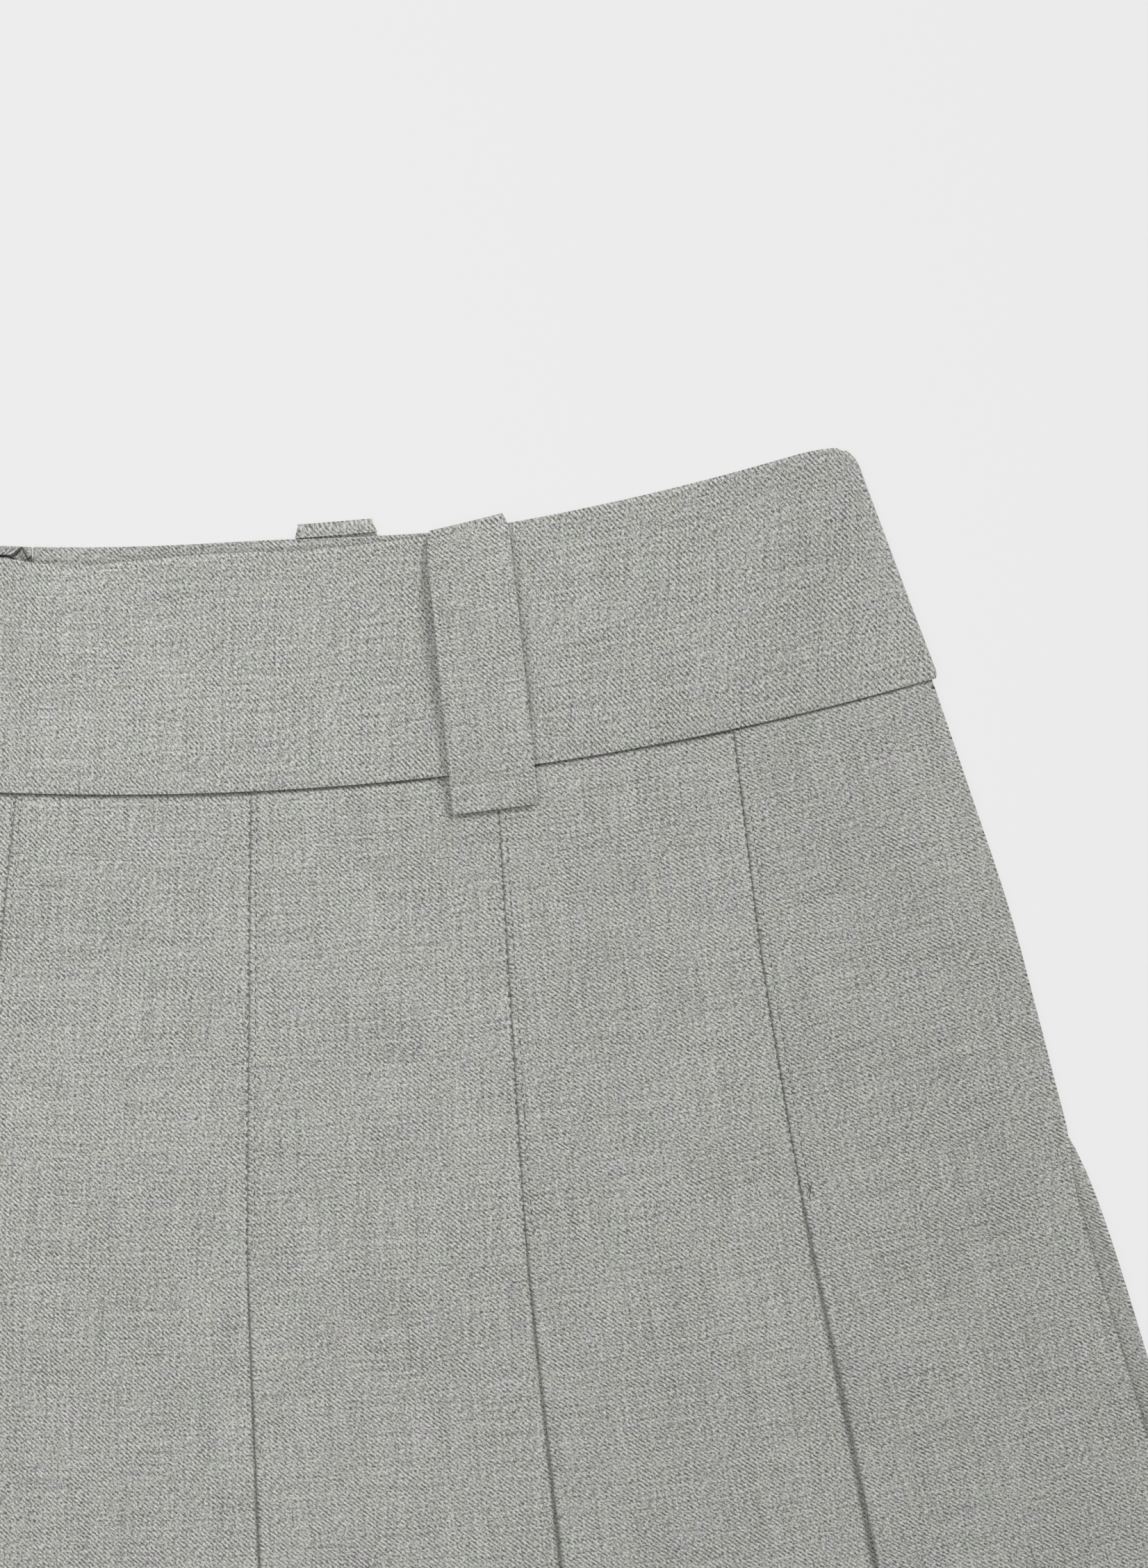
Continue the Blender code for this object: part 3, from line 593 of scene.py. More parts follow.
def add_back_pleat(row, fold, following, depth, end=None):
    """One back panel from its underlay to the next fold, or to the centre back edge."""
    add_back_run(row, fold - depth + BACK_TURN_CLEAR, fold - BACK_TURN_CLEAR, 1)
    add_back_turn(row, fold, 1, 0, -1)
    fold_column = len(row.points) - 1
    rise = back_rise(fold, row.down) + flare_lift(fold - STITCH_INSET, row.down)
    row.add(fold - STITCH_INSET, back_level(0, row.down) + rise)
    if following is None:
        add_back_run(row, fold - STITCH_INSET, end, 0)
    else:
        add_back_run(row, fold - STITCH_INSET, following + BACK_CLIMB[0], 0)
        add_back_climb(row, following)
    row.anchor(fold_column, len(row.points) - 1)


def add_back_underlay(row, fold, depth):
    """The inner layer of the fold, and the turn from which its next panel starts."""
    add_back_run(row, fold, fold - depth + BACK_TURN_CLEAR, 2)
    add_back_turn(row, fold - depth, 2, 1, 1)
    row.begin_panel()


def back_row_left(down):
    """The wearer's left back, at +X, from the hidden seam to centre back."""
    row = Row(BACK_OUTER_LINES, down)
    folds = [line.along for line in BACK_FOLDS]
    row.add(folds[0] - UNDERLAY, back_level(1, down) + back_rise(folds[0], down))
    for index in range(3):
        add_back_pleat(row, folds[index], folds[index + 1], UNDERLAY)
        add_back_underlay(row, folds[index + 1], CENTRE_BACK_UNDERLAY if index == 2 else UNDERLAY)
    add_back_pleat(row, folds[3], None, CENTRE_BACK_UNDERLAY, CENTRE_BACK + CENTRE_BACK_GAP)
    return row


def back_row_right(down):
    """The wearer's right back, at -X, from centre back to the hidden seam."""
    row = Row(BACK_OUTER_LINES, down)
    folds = [line.along for line in BACK_FOLDS]
    start = CENTRE_BACK - CENTRE_BACK_GAP
    row.add(start, back_level(0, down) + back_rise(start, down))
    add_back_run(row, start, folds[4] + BACK_CLIMB[0], 0)
    add_back_climb(row, folds[4])
    row.anchor(0, len(row.points) - 1)
    for index in range(4, 7):
        add_back_underlay(row, folds[index], UNDERLAY)
        add_back_pleat(row, folds[index], folds[index + 1], UNDERLAY)
    step = pitch(down)
    low = front_top(-SEAM_HALF + 1.5, down) - 2 * step
    row.turn(-SEAM_HALF + 2 * step, back_level(2, down), low, 1, TURN_STEPS, FRONT_LINES)
    row.add(HIDDEN_SEAM, front_top(HIDDEN_SEAM, down) - 2 * step, 0, FRONT_LINES)
    return row


def band_middle(along, up):
    """Middle height of the front band: it settles towards the back band at the top and sides."""
    top = band_height(along)
    seam = front_settle(along, 0.0) + BAND_OVER_SKIRT
    settled = mix(BAND_MIDDLE_TOP, seam, bell(along, BAND_HUMP_HALF))
    settled = mix(settled, BAND_SIDE_TOP, ramp(abs(along), *SIDE_SETTLE))
    height = mix(seam, settled, smooth(up / top)) + creases_at(BAND_CREASES, along, -up)
    height -= BAND_ROLL * exp(-up / BAND_ROLL_REACH)
    return height - BAND_EDGE_ROLL * exp(-(top - up) / BAND_EDGE_REACH)


# Rows up the band as shares of its height, and the rounding of its corners
BAND_SHARES = (0.0, 0.004, 0.012, 0.025, 0.05, 0.1, 0.18, 0.27, 0.36, 0.45, 0.54, 0.63, 0.72, 0.81)
BAND_SHARES += (0.88, 0.93, 0.96, 0.98, 0.99, 0.996, 1.0)
Corner = namedtuple("Corner", "height depth")
BAND_TOP_CORNER = Corner(3.6, 1.6)
BAND_LOW_CORNER = Corner(1.6, 0.8)
BACK_BAND_STOPS = (CENTRE_BACK_GAP, 0.5, 1.2, 2.5, 4, 6, 8, 10, 12, 14, 16)


def back_band_middle(along, up):
    return look().band_thickness / 2 + pull_lift(along, up) + back_lift(along, -up)


def add_band_turn(row, side, up):
    """The band's turn round one side fold, rounded off at its two corners."""
    wall = look().band_thickness
    radius = (band_middle(side * BAND_HALF, up) - wall / 2) / 2
    corner = clamp01(1 - (band_height(BAND_HALF) - up) / BAND_TOP_CORNER.height)
    foot = clamp01(1 - up / BAND_LOW_CORNER.height)
    rounding = BAND_TOP_CORNER.depth * corner**2 + BAND_LOW_CORNER.depth * foot**2
    steps = range(SIDE_TURN_STEPS + 1)
    for step in steps if side < 0 else reversed(steps):
        angle = pi * step / SIDE_TURN_STEPS - pi / 2
        inset = radius + wall / 2 - radius * cos(angle) + rounding
        height = wall / 2 + radius * (1 + sin(angle))
        row.add_on_band(side * (BAND_HALF - inset), up, height)


def band_row(share):
    """Round the front band at one share of its height, from one back seam to the other."""
    row = Row()
    low = look().band_thickness / 2

    def up_at(along):
        return mix(FINE_ROWS[0], band_height(along), share)

    row.add_on_band(-BAND_END, up_at(-BAND_END), low)
    add_band_turn(row, -1, up_at(-BAND_HALF))
    reach = BAND_HALF - 4
    for along in [-reach] + spread(-reach, reach, BAND_STEP):
        row.add_on_band(along, up_at(along), band_middle(along, up_at(along)))
    add_band_turn(row, 1, up_at(BAND_HALF))
    row.add_on_band(BAND_END, up_at(BAND_END), low)
    row.anchor(0, len(row.points) - 1)
    return row


def back_band_row(side, share):
    """One half of the back band at one share of its height, from centre back outwards."""
    row = Row()
    near = [CENTRE_BACK + side * stop for stop in BACK_BAND_STOPS]
    for along in near + spread(near[-1], side * (BAND_END - 0.15), BACK_BAND_STEP):
        up = mix(FINE_ROWS[0], back_band_height(along), share)
        row.add_on_band(along, up, back_band_middle(along, up))
    row.anchor(0, len(row.points) - 1)
    return row


def distances(points):
    """How far each point of a row lies from the first one, along the row."""
    total = [0.0]
    for first, second in zip(points, points[1:]):
        total.append(total[-1] + dist(first, second) / MM)
    return total


def finished_mesh(shape, name, outwards=False):
    """The shape as a mesh, with its faces turned outwards where that is asked."""
    if outwards:
        bmesh.ops.recalc_face_normals(shape, faces=shape.faces)
    mesh = bpy.data.meshes.new(name)
    shape.to_mesh(mesh)
    shape.free()
    return mesh


def cloth_sheet(name, rows, ups, wall, material, bevel):
    """A closed cloth wall through the rows, with the weave of each panel in its own UVs."""
    sheet = bmesh.new()
    weave = sheet.loops.layers.uv.new("Cloth")
    grid = [[sheet.verts.new(point) for point in row.points] for row in rows]
    runs = [distances(row.points) for row in rows]

    def place(row, column, panel):
        anchors = rows[row].anchors[panel]
        middle = sum(runs[row][anchor] for anchor in anchors) / len(anchors)
        return runs[row][column] - middle + PANEL_SHIFT[0] * panel, ups[row] + PANEL_SHIFT[1] * panel

    for row in range(len(rows) - 1):
        for column in range(len(grid[0]) - 1):
            panel = sum(1 for start in rows[0].starts if start <= column) - 1
            corners = ((row, column), (row, column + 1), (row + 1, column + 1), (row + 1, column))
            face = sheet.faces.new([grid[r][c] for r, c in corners])
            face.smooth = True
            for loop, (r, c) in zip(face.loops, corners):
                loop[weave].uv = place(r, c, panel)
    made = new_object(name, finished_mesh(sheet, name), material)
    shell = made.modifiers.new("Cloth wall", "SOLIDIFY")
    shell.thickness = wall * MM
    shell.offset = 0.0
    shell.use_even_offset = True
    edges = made.modifiers.new("Soft edges", "BEVEL")
    edges.width = bevel * MM
    edges.segments = 2
    edges.angle_limit = radians(60)
    return made


def new_object(name, data, material=None):
    made = bpy.data.objects.new(name, data)
    if material is not None:
        data.materials.append(material)
    bpy.context.scene.collection.objects.link(made)
    return made


def made_plain(made):
    """The object's evaluated shape as a plain mesh, with its modifiers gone."""
    bpy.context.view_layer.update()
    evaluated = made.evaluated_get(bpy.context.evaluated_depsgraph_get())
    mesh = bpy.data.meshes.new_from_object(evaluated)
    mesh.name = made.name
    if made.type == "MESH":
        made.modifiers.clear()
        made.data = mesh
        return made
    plain = new_object("plain", mesh)
    mesh.transform(made.matrix_world)
    name = made.name
    bpy.data.objects.remove(made)
    plain.name = name
    return plain


def finish_piece(made, slot, *nodes, body=SKIRT):
    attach(made, body)
    if nodes:
        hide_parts(*nodes)


def lay_cloth(name, node, rows, ups, wall, material, bevel):
    """One cut piece of cloth, laid, attached to the skirt, with its node in the frame hidden."""
    made = cloth_sheet(name, rows, ups, wall, material, bevel)
    made_plain(made)
    finish_piece(made, "melange_twill", node)


# Belt loops. A loop's path is a list of (up, height): how far up the band a row lies,
# and how high it is over what it rests on, or over the table for a back loop.
FRONT_LOOP_SHARES = (0.88, 0.78, 0.68, 0.58, 0.48, 0.38, 0.28, 0.19, 0.12, 0.06)
FRONT_LOOP_BULGE = (0.3, 1.9)
FRONT_LOOP_FOOT = ((1.2, 0.4), (0.0, 0.6), (-1.2, 0.75), (-3.4, 0.55), (-5.6, 0.4), (-7.2, 0.3))
LOOP_SHARES = (-0.5, -0.47, -0.42, -0.3, -0.15, 0.0, 0.15, 0.3, 0.42, 0.47, 0.5)


def front_surface(along, up):
    """Height of the topmost cloth where a front loop lies."""
    if up >= 0:
        return band_middle(along, up) + look().band_thickness / 2
    return front_top(along, -up) + look().thickness / 2


def front_loop_path(side):
    half = look().front_loop_thickness / 2
    top = band_height(side * FRONT_LOOP_ALONG)
    edge = FRONT_LOOP_RISE - half
    path = [(top + 0.3 * edge, -look().band_thickness - half - 0.05), (top + 0.85 * edge, -half - 0.1)]
    path += [(top + edge, 0.05), (top + 0.8 * edge, half + 0.05), (top, half + 0.2), (top - 2, half + 0.3)]
    for share in FRONT_LOOP_SHARES:
        bulge = sin(pi * share**1.35) ** 0.8
        path.append((top * share, half + mix(*FRONT_LOOP_BULGE, bulge)))
    path += [(up, half + height) for up, height in FRONT_LOOP_FOOT]
    return path + [(-LOOP_BELOW_SEAM, half + 0.25)]


def back_loop_path(side):
    half = look().loop_thickness / 2
    along = side * BACK_LOOP_ALONG
    top = back_band_height(along)
    edge = top + BACK_LOOP_RISE - half
    over = back_band_middle(along, top)
    path = [(top + 0.5, over), (top + 1.6, over), (edge - 0.5, over - 0.05), (edge, (over + half) / 2)]
    path += [(edge - 0.5, half + 0.03), (top + 1.4, half), (top - 1.5, half)]
    path += [(top * share, half) for share in (0.8, 0.6, 0.4, 0.2, 0.0)]
    return path + [(-4.0, half), (-LOOP_BELOW_SEAM, half)]


def loop_rows(front, side):
    path = front_loop_path(side) if front else back_loop_path(side)
    middle = FRONT_LOOP_ALONG if front else BACK_LOOP_ALONG
    lean = FRONT_LOOP_LEAN if front else 0.0
    highest = max(up for up, height in path)
    rows = []
    for up, height in path:
        row = Row(down=-up)
        narrowed = 0.1 * bell(up - highest, 1.3) + 0.04 * bell(up + LOOP_BELOW_SEAM, 0.9)
        width = LOOP_WIDTH * (1 - narrowed)
        for share in LOOP_SHARES:
            along = side * (middle + lean * up) + share * width * SEAM_RADIUS / (SEAM_RADIUS - up)
            if not front:
                row.add_on_band(along, up, height)
                continue
            tilted = up + side * share * LOOP_WIDTH * FRONT_LOOP_TILT * max(up, 0.0)
            base = front_surface(along, min(tilted, band_height(along)))
            sag = 0.3 * (2 * abs(share)) ** 5 * ramp(height, 0.0, 0.6)
            row.add_on_band(along, tilted, base + height - sag)
        row.anchor(0, len(row.points) - 1)
        rows.append(row)
    return rows


# The zip, its slider and pull tab, and the hook and eye
ZIP_BOTTOM = 108.0
ZIP_TOP = 38.2
TAPE_HALF = 11.0
TAPE_THICKNESS = 0.35
TAPE_SHARES = (0.06, 0.1, 0.14, 0.2, 0.35, 0.5, 0.65, 0.8, 0.92, 1.0)
TAPE_STEPS = 56
ZIP_GAP = 0.3
CAD_BAND_WALL = 1.3
WIRE = 0.55
SLIDER_UP = 38.5
SLIDER_LENGTH = 8.6
SLIDER_LIFT = 3.65
SLIDER_HEIGHT = 2.1
SLIDER_HALF = 3.2
SLIDER_PLATE = 0.62
HINGE_UP = 45.2
HINGE_Z = 1.3
PULL_WIDTH = 5.0
PULL_LENGTH = 18.0
PULL_THICKNESS = 0.8
PULL_TIP_Z = 0.55
PULL_EDGE = 0.12
PULL_SIDES = ((0.9, 0.25), (0.8, 0.5), (0.82, 0.72), (0.95, 0.9))

# Half of the slider's plan, from its tail to its shoulders: a share of the half width, and how
# far up. The blocks are the post between its plates and the bridge that comes out at the seam.
SLIDER_PLAN = ((0.62, 0.0), (0.8, 0.35), (0.86, 2.58), (0.97, 4.73), (1.0, 6.708), (0.93, 7.998))
SLIDER_PLAN += ((0.72, SLIDER_LENGTH),)
Block = namedtuple("Block", "half first last low high")
SLIDER_BLOCKS = (
    Block(0.8, 44.5, 46.9, SLIDER_LIFT + 0.6, SLIDER_LIFT + 1.5),
    Block(0.7, 43.4, 44.25, 0.1, SLIDER_LIFT + 0.3),
    Block(0.7, 46.15, 47.0, 0.1, SLIDER_LIFT + 0.3),
    Block(0.7, 44.2, 46.2, 0.1, 0.6),
)


def zip_point(offset, down, height):
    """A place on the zip: offset from centre back, and height over the cloth's inner face."""
    along = CENTRE_BACK + offset
    if down >= 0:
        across, below = on_cloth(BACK_OUTER_LINES, along, down)
        wall = mix(CAD_BAND_WALL, look().thickness + 0.45, smooth(down / 20))
    else:
        across, below = on_band(along, -down)
        wall = CAD_BAND_WALL
    return world(across, below, wall + ZIP_GAP + pull_lift(along, -down) + height)


def arc(centre, radius, first, last, steps):
    """Points of an arc, in degrees from first to last."""
    points = []
    for step in range(steps + 1):
        angle = radians(mix(first, last, step / steps))
        points.append((centre[0] + radius * cos(angle), centre[1] + radius * sin(angle), 0.0))
    return points


HOOK_ROUTE = (
    arc((-11.0, 51.3), 0.75, 60, 270, 14)
    + [(-9.2, 50.6, 0.1), (-7.2, 50.55, 0.3), (-5.9, 50.52, 0.7), (-4.8, 50.45, 0.85), (-4.0, 50.1, 0.8)]
    + [(-3.6, 49.85, 0.65), (-3.5, 49.6, 0.45), (-3.6, 49.35, 0.65), (-4.0, 49.1, 0.8)]
    + [(-4.8, 48.95, 0.85), (-5.9, 48.9, 0.7), (-7.2, 48.85, 0.3), (-9.2, 48.85, 0.1)]
    + arc((-11.0, 48.1), 0.75, 90, 300, 14)
)
EYE_ROUTE = (
    arc((4.8, 48.4), 0.8, -120, 90, 14)
    + [(3.6, 49.0, 0), (2.4, 48.6, 0), (1.3, 48.3, 0), (0.65, 48.6, 0), (0.25, 49.6, 0), (-0.2, 50.7, 0)]
    + [(-0.55, 50.35, 0), (-0.9, 50.1, 0), (-1.6, 51.3, 0), (-2.45, 52.4, 0), (-3.1, 52.0, 0)]
    + [(-4.1, 51.1, 0), (-4.7, 50.6, 0), (-4.8, 50.0, 0), (-4.6, 49.4, 0), (-3.4, 48.6, 0)]
    + [(-1.6, 48.1, 0), (0.6, 47.95, 0), (2.8, 48.0, 0), (3.9, 47.6, 0)]
    + arc((4.8, 46.0), 0.8, 90, -120, 14)
)


def wire_curve(name, route):
    curve = bpy.data.curves.new(name, "CURVE")
    curve.dimensions = "3D"
    curve.bevel_depth = WIRE / 2 * MM
    curve.bevel_resolution = 3
    curve.use_fill_caps = True
    spline = curve.splines.new("POLY")
    spline.points.add(len(route) - 1)
    for point, (offset, up, lift) in zip(spline.points, route):
        along = CENTRE_BACK + offset
        base = CAD_BAND_WALL + pull_lift(along, up) + ZIP_GAP + WIRE / 2
        raised = up + BACK_MIDDLE_RISE * ramp(up, 49.6, 50.4)
        point.co = (*band_point(along, raised, base + lift), 1.0)
    return curve


def add_belt(shape, first, second):
    """Faces between two closed rings that have as many points."""
    for index, corner in enumerate(first):
        following = (index + 1) % len(first)
        shape.faces.new((corner, first[following], second[following], second[index]))


def tape_mesh():
    """The two woven tapes of the zip, each a thin flat strip beside the coil."""
    shape = bmesh.new()
    places = [(share, 0.0) for share in TAPE_SHARES]
    places += [(share, TAPE_THICKNESS) for share in reversed(TAPE_SHARES)]
    for side in (-1, 1):
        rings = []
        for step in range(TAPE_STEPS + 1):
            down = ZIP_BOTTOM - step * (ZIP_BOTTOM + ZIP_TOP) / TAPE_STEPS
            points = [zip_point(side * share * TAPE_HALF, down, height) for share, height in places]
            rings.append([shape.verts.new(point) for point in points])
        for first, second in zip(rings, rings[1:]):
            add_belt(shape, first, second)
        shape.faces.new(rings[0])
        shape.faces.new(list(reversed(rings[-1])))
    return finished_mesh(shape, "Zip tape", outwards=True)


def polyline(name, lines):
    """A mesh of open polylines, which a node tree turns into stitches or coil turns."""
    shape = bmesh.new()
    for line in lines:
        points = [shape.verts.new(point) for point in line]
        for pair in zip(points, points[1:]):
            shape.edges.new(pair)
    return finished_mesh(shape, name)


def prism(shape, outline, low, high):
    """A closed solid on a plan outline, between two heights."""
    rings = []
    for height in (low, high):
        places = [(x, *on_band(CENTRE_BACK, y)) for x, y in outline]
        rings.append([shape.verts.new(world(across + x, below, height)) for x, across, below in places])
    add_belt(shape, *rings)
    shape.faces.new(list(reversed(rings[0])))
    shape.faces.new(rings[1])


def box_outline(low_x, high_x, low_y, high_y):
    return [(low_x, low_y), (high_x, low_y), (high_x, high_y), (low_x, high_y)]


def slider_mesh():
    """Two plates, the post that joins them, and the bridge that comes out at the seam."""
    shape = bmesh.new()
    right = [(SLIDER_HALF * share, SLIDER_UP + up) for share, up in SLIDER_PLAN]
    plan = right + [(-x, y) for x, y in reversed(right)]
    for low in (SLIDER_LIFT, SLIDER_LIFT + SLIDER_HEIGHT - SLIDER_PLATE):
        prism(shape, plan, low, low + SLIDER_PLATE)
    for block in SLIDER_BLOCKS:
        prism(shape, box_outline(-block.half, block.half, block.first, block.last), block.low, block.high)
    return finished_mesh(shape, "Slider", outwards=True)


def pull_object(material):
    """The drop-shaped pull tab, laid as in the frame, with a window for the bridge."""
    half = PULL_WIDTH / 2
    rod = PULL_THICKNESS / 2
    low = rod - PULL_LENGTH + half
    right = [(half - 0.3, rod), (half - 0.08, rod - 0.1), (half, rod - 0.4)]
    right += [(half * wide, low * far) for wide, far in PULL_SIDES]
    foot = [(x, y) for x, y, _ in arc((0.0, low), half, 0, -180, 28)]
    outline = right + foot + [(-x, y) for x, y in reversed(right)]
    window = box_outline(-1.05, 1.05, -rod - 0.1, -3.8)
    hole = [(x, y) for x, y, _ in arc((0.0, low), 0.9, 0, 345, 23)]
    curve = bpy.data.curves.new("Zip pull tab", "CURVE")
    curve.dimensions = "2D"
    curve.fill_mode = "BOTH"
    curve.extrude = (rod - PULL_EDGE) * MM
    curve.bevel_depth = PULL_EDGE * MM
    curve.offset = -PULL_EDGE * MM
    curve.bevel_resolution = 2
    for points in (outline, window, hole):
        spline = curve.splines.new("POLY")
        spline.points.add(len(points) - 1)
        spline.use_cyclic_u = True
        for point, (x, y) in zip(spline.points, points):
            point.co = (x * MM, y * MM, 0.0, 1.0)
    made = new_object("Zip_pull_tab", curve, material)
    made.location = world(*on_band(CENTRE_BACK, HINGE_UP), HINGE_Z)
    made.rotation_euler.x = asin((HINGE_Z - PULL_TIP_Z) / (PULL_LENGTH - rod))
    return made_plain(made)


# Stitches, and dark thread dots of painted shade at the foot of each front fold: each is a polyline on the
# cloth that the node tree sews along
Repeat = namedtuple("Repeat", "pitch size sides scatter")
STITCH = Repeat(2.27, (0.36, 0.36, 0.95), 6, 0.04)
TACK = Repeat(0.9, (0.2, 0.2, 1.2), 6, 0.05)
COIL = Repeat(1.27, (2.08, 0.672, 0.672), 8, 0.0)
STITCH_START = 1.4
# Dark thread dots of painted shade at the foot of each front fold: how far before the fold they lie, and
# how far below the seam they start
FOLD_SHADE_DOT_OFFSET = 0.25
FOLD_SHADE_DOT_START = 2.2
TACK_STITCHES = ((0.0, -0.5), (0.35, 0.45), (0.65, -0.2))


def sewn_line(lines, along, first, last, points, height_at):
    """Places down the cloth at `along`, each as high as height_at says."""
    places = []
    for step in range(points):
        down = mix(first, last, step / (points - 1))
        places.append(world(*on_cloth(lines, along, down), height_at(down)))
    return places


def front_stitch_and_fold_shade_lines():
    """The stitches beside each front fold, and dark thread dots at its foot under the fold edge: painted
    shade for the dotted shadow where the stitches pull that edge in.
    """
    over = look().thickness / 2
    edges, fold_shade_dots = [], []
    for index, fold in enumerate(FRONT_FOLDS):
        along = fold.along + STITCH_INSET

        def edge_height(down):
            return front_top(along, down) - trough_at(fold.along, along, down) + over - 0.02

        # Painted shade: the dots lie at the bottom of the crevice under the fold edge, where there is only
        # its dotted shadow
        def fold_shade_dot_height(down):
            return front_top(fold.along, down) - front_step(index, down) + over - 0.05

        foot = fold.along - FOLD_SHADE_DOT_OFFSET
        edges.append(sewn_line(FRONT_LINES, along, STITCH_START, STITCHED_DOWN, 68, edge_height))
        fold_shade_dots.append(sewn_line(FRONT_LINES, foot, FOLD_SHADE_DOT_START, STITCHED_DOWN - 1, 68, fold_shade_dot_height))
    return edges + fold_shade_dots


def tack_lines():
    """The small back tack at the end of the edge stitching on the rightmost open fold."""
    lines = []
    for offset, turn in TACK_STITCHES:
        line = []
        for end in (-1.0, 1.0):
            along = FRONT_FOLDS[6].along + STITCH_INSET + end * turn
            down = STITCHED_DOWN + 0.6 + offset + end * 0.9
            height = front_top(along, down) + look().thickness / 2 + 0.06
            line.append(world(*on_cloth(FRONT_LINES, along, down), height))
        lines.append(line)
    return lines


def back_stitch_lines():
    """Edge stitching on the underside, beside each back fold."""
    lines = []
    for fold in BACK_FOLDS:
        along = fold.along - STITCH_INSET

        def height(down):
            return back_lift(along, down) + 0.1

        lines.append(sewn_line(BACK_OUTER_LINES, along, STITCH_START, STITCHED_DOWN, 41, height))
    return lines


class Graph:
    """Builds a node tree: nodes from one method, and maths as Python expressions."""

    def __init__(self, tree):
        self.tree = tree

    def node(self, kind, settings=(), values=()):
        made = self.tree.nodes.new(kind)
        for name, value in dict(settings).items():
            setattr(made, name, value)
        for key, value in dict(values).items():
            self.feed(made.inputs[key], value)
        return made

    def feed(self, socket, value):
        if isinstance(value, Value):
            self.tree.links.new(value.socket, socket)
        elif isinstance(value, bpy.types.NodeSocket):
            self.tree.links.new(value, socket)
        else:
            socket.default_value = value

    def value(self, kind, settings=(), values=(), output=0):
        return Value(self, self.node(kind, settings, values).outputs[output])

    def blend(self, share, first, second, kind="MIX"):
        """A colour mixed from two others."""
        settings = {"data_type": "RGBA", "blend_type": kind}
        return self.node("ShaderNodeMix", settings, {0: share, 6: first, 7: second}).outputs[2]

    def noise(self, place, scale, detail=1.0, rough=0.5):
        values = {"Vector": place, "Scale": scale, "Detail": detail, "Roughness": rough}
        return self.value("ShaderNodeTexNoise", {"noise_dimensions": "3D"}, values, "Fac") - 0.5

    def place(self, x, y, z=0.0):
        return self.node("ShaderNodeCombineXYZ", (), {0: x, 1: y, 2: z}).outputs[0]

    def split(self, place):
        """The first two coordinates of a place."""
        parts = self.node("ShaderNodeSeparateXYZ", (), {0: place}).outputs
        return Value(self, parts[0]), Value(self, parts[1])

    def object_place(self):
        return self.node("ShaderNodeTexCoord").outputs["Object"]


class Value:
    """A number in a node tree that Python operators work on."""

    def __init__(self, graph, socket):
        self.graph = graph
        self.socket = socket

    def math(self, operation, first, second=0.0):
        return self.graph.value("ShaderNodeMath", {"operation": operation}, {0: first, 1: second})

    def __add__(self, other):
        return self.math("ADD", self, other)

    def __radd__(self, other):
        return self.math("ADD", other, self)

    def __sub__(self, other):
        return self.math("SUBTRACT", self, other)

    def __rsub__(self, other):
        return self.math("SUBTRACT", other, self)

    def __mul__(self, other):
        return self.math("MULTIPLY", self, other)

    def __rmul__(self, other):
        return self.math("MULTIPLY", other, self)

    def __truediv__(self, other):
        return self.math("DIVIDE", self, other)

    def sine(self):
        return self.math("SINE", self)

    def clipped(self, low=0.0, high=1.0):
        return self.math("MAXIMUM", self.math("MINIMUM", self, high), low)


WALE_PITCH = 0.75


def new_material(name):
    made = bpy.data.materials.new(name)
    made.use_nodes = True
    made.node_tree.nodes.clear()
    return made, Graph(made.node_tree)


def surface(graph, values, height=None, distance=0.0):
    """The shader at the end of a material, with the height value as its bump."""
    values = dict(values)
    if height is not None:
        bump = graph.node("ShaderNodeBump", (), {"Height": height, "Distance": distance, "Strength": 1.0})
        values["Normal"] = bump.outputs[0]
    shader = graph.node("ShaderNodeBsdfPrincipled", (), values)
    graph.node("ShaderNodeOutputMaterial", (), {"Surface": shader.outputs[0]})


def cloth_material(name, angle, dark, light):
    """Soft melange twill. Its UVs are in millimetres along and down the cloth."""
    made, graph = new_material(name)
    along, down = graph.split(graph.node("ShaderNodeUVMap", {"uv_map": "Cloth"}).outputs[0])
    ridge = along * sin(angle) - down * cos(angle)
    run = along * cos(angle) + down * sin(angle)

    def patches(level, scale, detail=1.0, rough=0.5, wide=1.0, high=1.0):
        return graph.noise(graph.place(along * wide, down * high, level), scale, detail, rough)

    wales = (ridge * (2 * pi / WALE_PITCH) + patches(0.0, 0.09) * 2.2).sine()
    twill = wales * (0.4 + (0.5 + patches(23.0, 0.13) * 1.7).clipped() * 1.1)
    fibre = graph.noise(graph.place(ridge * 2.4, run * 0.6), 1.75, 1.0, 0.7)
    grain = patches(7.0, 2.3, 1.0, 0.8)
    warp = patches(3.0, 1.0, wide=1.7, high=0.045)
    weft = patches(5.0, 1.0, wide=0.045, high=1.7)
    cloud = patches(11.0, 0.045, 2.0)
    shade = 0.5 + fibre * 1.85 + grain * 1.7 + twill * 0.22 + warp * 0.38 + weft * 0.42 + cloud * 0.12
    tint = (0.5 + patches(19.0, 0.28) * 1.8).clipped()
    tone = graph.blend(tint, (0.975, 1.0, 0.955, 1.0), (1.02, 0.99, 1.05, 1.0))
    colour = graph.blend(1.0, graph.blend(shade.clipped(), dark, light), tone, "MULTIPLY")
    height = twill * 0.03 + fibre * 0.1 + grain * 0.08 + warp * 0.05 + weft * 0.05
    values = {"Base Color": colour, "Roughness": 0.92, "Sheen Weight": 0.12, "Sheen Roughness": 0.6}
    surface(graph, values, height, MM)
    return made


def thread_material(name, colour):
    made, graph = new_material(name)
    shade = graph.noise(graph.object_place(), 900.0, 1.0) * 0.5 + 0.5
    dark = tuple(0.75 * part for part in colour[:3]) + (1.0,)
    mixed = graph.blend(shade.clipped(), dark, colour)
    surface(graph, {"Base Color": mixed, "Roughness": 0.75, "Sheen Weight": 0.1})
    return made


